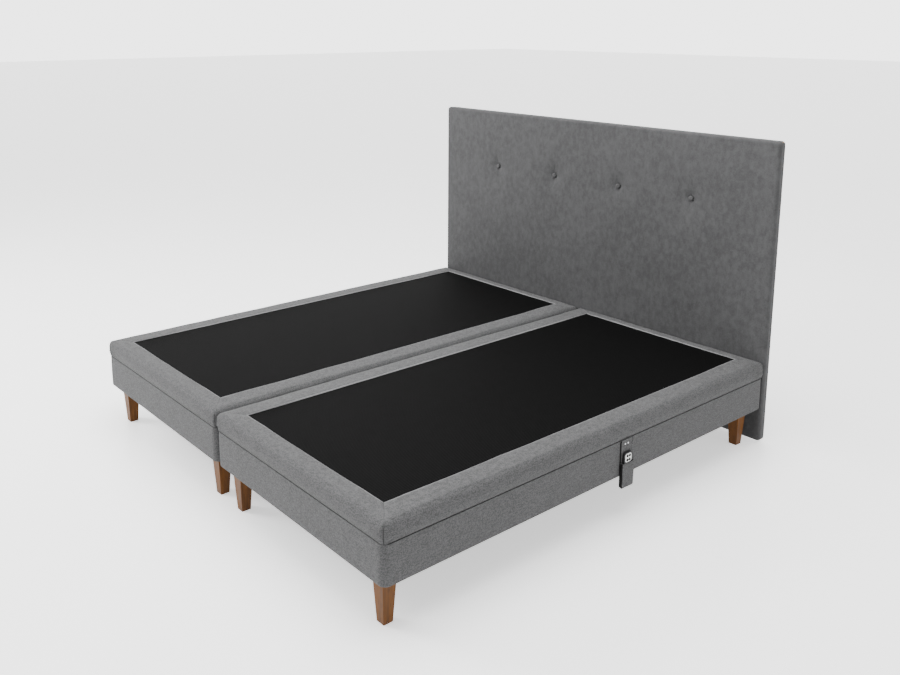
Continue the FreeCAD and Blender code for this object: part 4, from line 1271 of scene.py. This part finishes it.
def place_camera():
    """The camera, to the right of the foot and looking down at the bed."""
    scene = bpy.context.scene
    lens = bpy.data.cameras.new("camera")
    lens.lens = CAMERA_LENS
    lens.sensor_width = CAMERA_SENSOR
    lens.shift_x, lens.shift_y = CAMERA_SHIFT
    camera = bpy.data.objects.new("camera", lens)
    camera.location = CAMERA_PLACE
    camera.rotation_euler = (math.radians(90 - CAMERA_DOWN), 0, math.radians(CAMERA_TURN))
    scene.collection.objects.link(camera)
    scene.camera = camera


def build_stage():
    """A pale floor, an even surround, soft lights and the camera."""
    lay_floor()
    light_surround()
    hang_lamp("key", (-3.9, -3.4, 3.1), (-0.1, -0.4, 0.4), 2.0, studio().key)
    hang_lamp("overhead", (0.3, -0.3, 4.4), (0.0, 0.0, 0.0), 4.0, studio().fill)
    place_camera()


# ---------------------------------------------------------------- operators and panel


def finishes_ready():
    """The finishes are made once, by whichever operator runs first."""
    if not FINISH:
        FINISH.update(make_finishes())


class BED_OT_stage(bpy.types.Operator):
    """Floor, lights, surround and camera"""

    bl_idname = "bed.stage"
    bl_label = "Build stage"

    def execute(self, context):
        finishes_ready()
        build_stage()
        return {"FINISHED"}


class BED_OT_dress_frame(bpy.types.Operator):
    """Finishes on the frame's own pieces"""

    bl_idname = "bed.dress_frame"
    bl_label = "Dress frame"

    def execute(self, context):
        finishes_ready()
        dress_frame()
        return {"FINISHED"}


class BED_OT_sew_decks(bpy.types.Operator):
    """Padded rims and ribbed fields"""

    bl_idname = "bed.sew_decks"
    bl_label = "Sew decks"

    def execute(self, context):
        finishes_ready()
        for side in SIDES:
            sew_deck(side)
        return {"FINISHED"}


class BED_OT_wrap_boxes(bpy.types.Operator):
    """Woven fabric round both boxes"""

    bl_idname = "bed.wrap_boxes"
    bl_label = "Wrap boxes"

    def execute(self, context):
        finishes_ready()
        for side in SIDES:
            wrap_box(side)
        return {"FINISHED"}


class BED_OT_headboard(bpy.types.Operator):
    """Velvet cover with its dimples"""

    bl_idname = "bed.headboard"
    bl_label = "Upholster headboard"

    def execute(self, context):
        finishes_ready()
        upholster_headboard()
        return {"FINISHED"}


class BED_OT_buttons(bpy.types.Operator):
    """Four gathered buttons"""

    bl_idname = "bed.buttons"
    bl_label = "Cover buttons"

    def execute(self, context):
        finishes_ready()
        cover_buttons()
        return {"FINISHED"}


class BED_OT_cloths(bpy.types.Operator):
    """Dust cloths, back cloth and staples"""

    bl_idname = "bed.cloths"
    bl_label = "Stretch cloths"

    def execute(self, context):
        finishes_ready()
        stretch_cloths()
        return {"FINISHED"}


class BED_OT_pouch(bpy.types.Operator):
    """Strap, pocket and stitches"""

    bl_idname = "bed.pouch"
    bl_label = "Sew pouch"

    def execute(self, context):
        finishes_ready()
        sew_pouch()
        return {"FINISHED"}


class BED_OT_handset(bpy.types.Operator):
    """The handset's side key"""

    bl_idname = "bed.handset"
    bl_label = "Dress handset"

    def execute(self, context):
        finishes_ready()
        dress_handset()
        return {"FINISHED"}


OPERATORS = (
    BED_OT_stage,
    BED_OT_dress_frame,
    BED_OT_sew_decks,
    BED_OT_wrap_boxes,
    BED_OT_headboard,
    BED_OT_buttons,
    BED_OT_cloths,
    BED_OT_pouch,
    BED_OT_handset,
)


class BED_PT_looks(bpy.types.Panel):
    bl_label = "Bed Base"
    bl_idname = "BED_PT_looks"
    bl_space_type = "VIEW_3D"
    bl_region_type = "UI"
    bl_category = "Bed Base"

    def draw(self, context):
        for group in (sizes(), colours(), studio()):
            for key in group.bl_rna.properties.keys():
                if key not in ("rna_type", "name"):
                    self.layout.prop(group, key)
        for kind in OPERATORS:
            self.layout.operator(kind.bl_idname)


GROUPS = (
    ("bed_cover_sizes", BedCoverSizes),
    ("bed_colours", BedColours),
    ("bed_studio", BedStudio),
)


def register():
    for name, group in GROUPS:
        bpy.utils.register_class(group)
        setattr(bpy.types.Scene, name, bpy.props.PointerProperty(type=group))
    for kind in [*OPERATORS, BED_PT_looks]:
        bpy.utils.register_class(kind)


def unregister():
    for kind in [BED_PT_looks, *reversed(OPERATORS)]:
        bpy.utils.unregister_class(kind)
    for name, group in reversed(GROUPS):
        delattr(bpy.types.Scene, name)
        bpy.utils.unregister_class(group)


def main():
    register()
    for kind in OPERATORS:
        family, call = kind.bl_idname.split(".")
        getattr(getattr(bpy.ops, family), call)()
    bpy.context.view_layer.update()


if __name__ == "__main__":
    main()
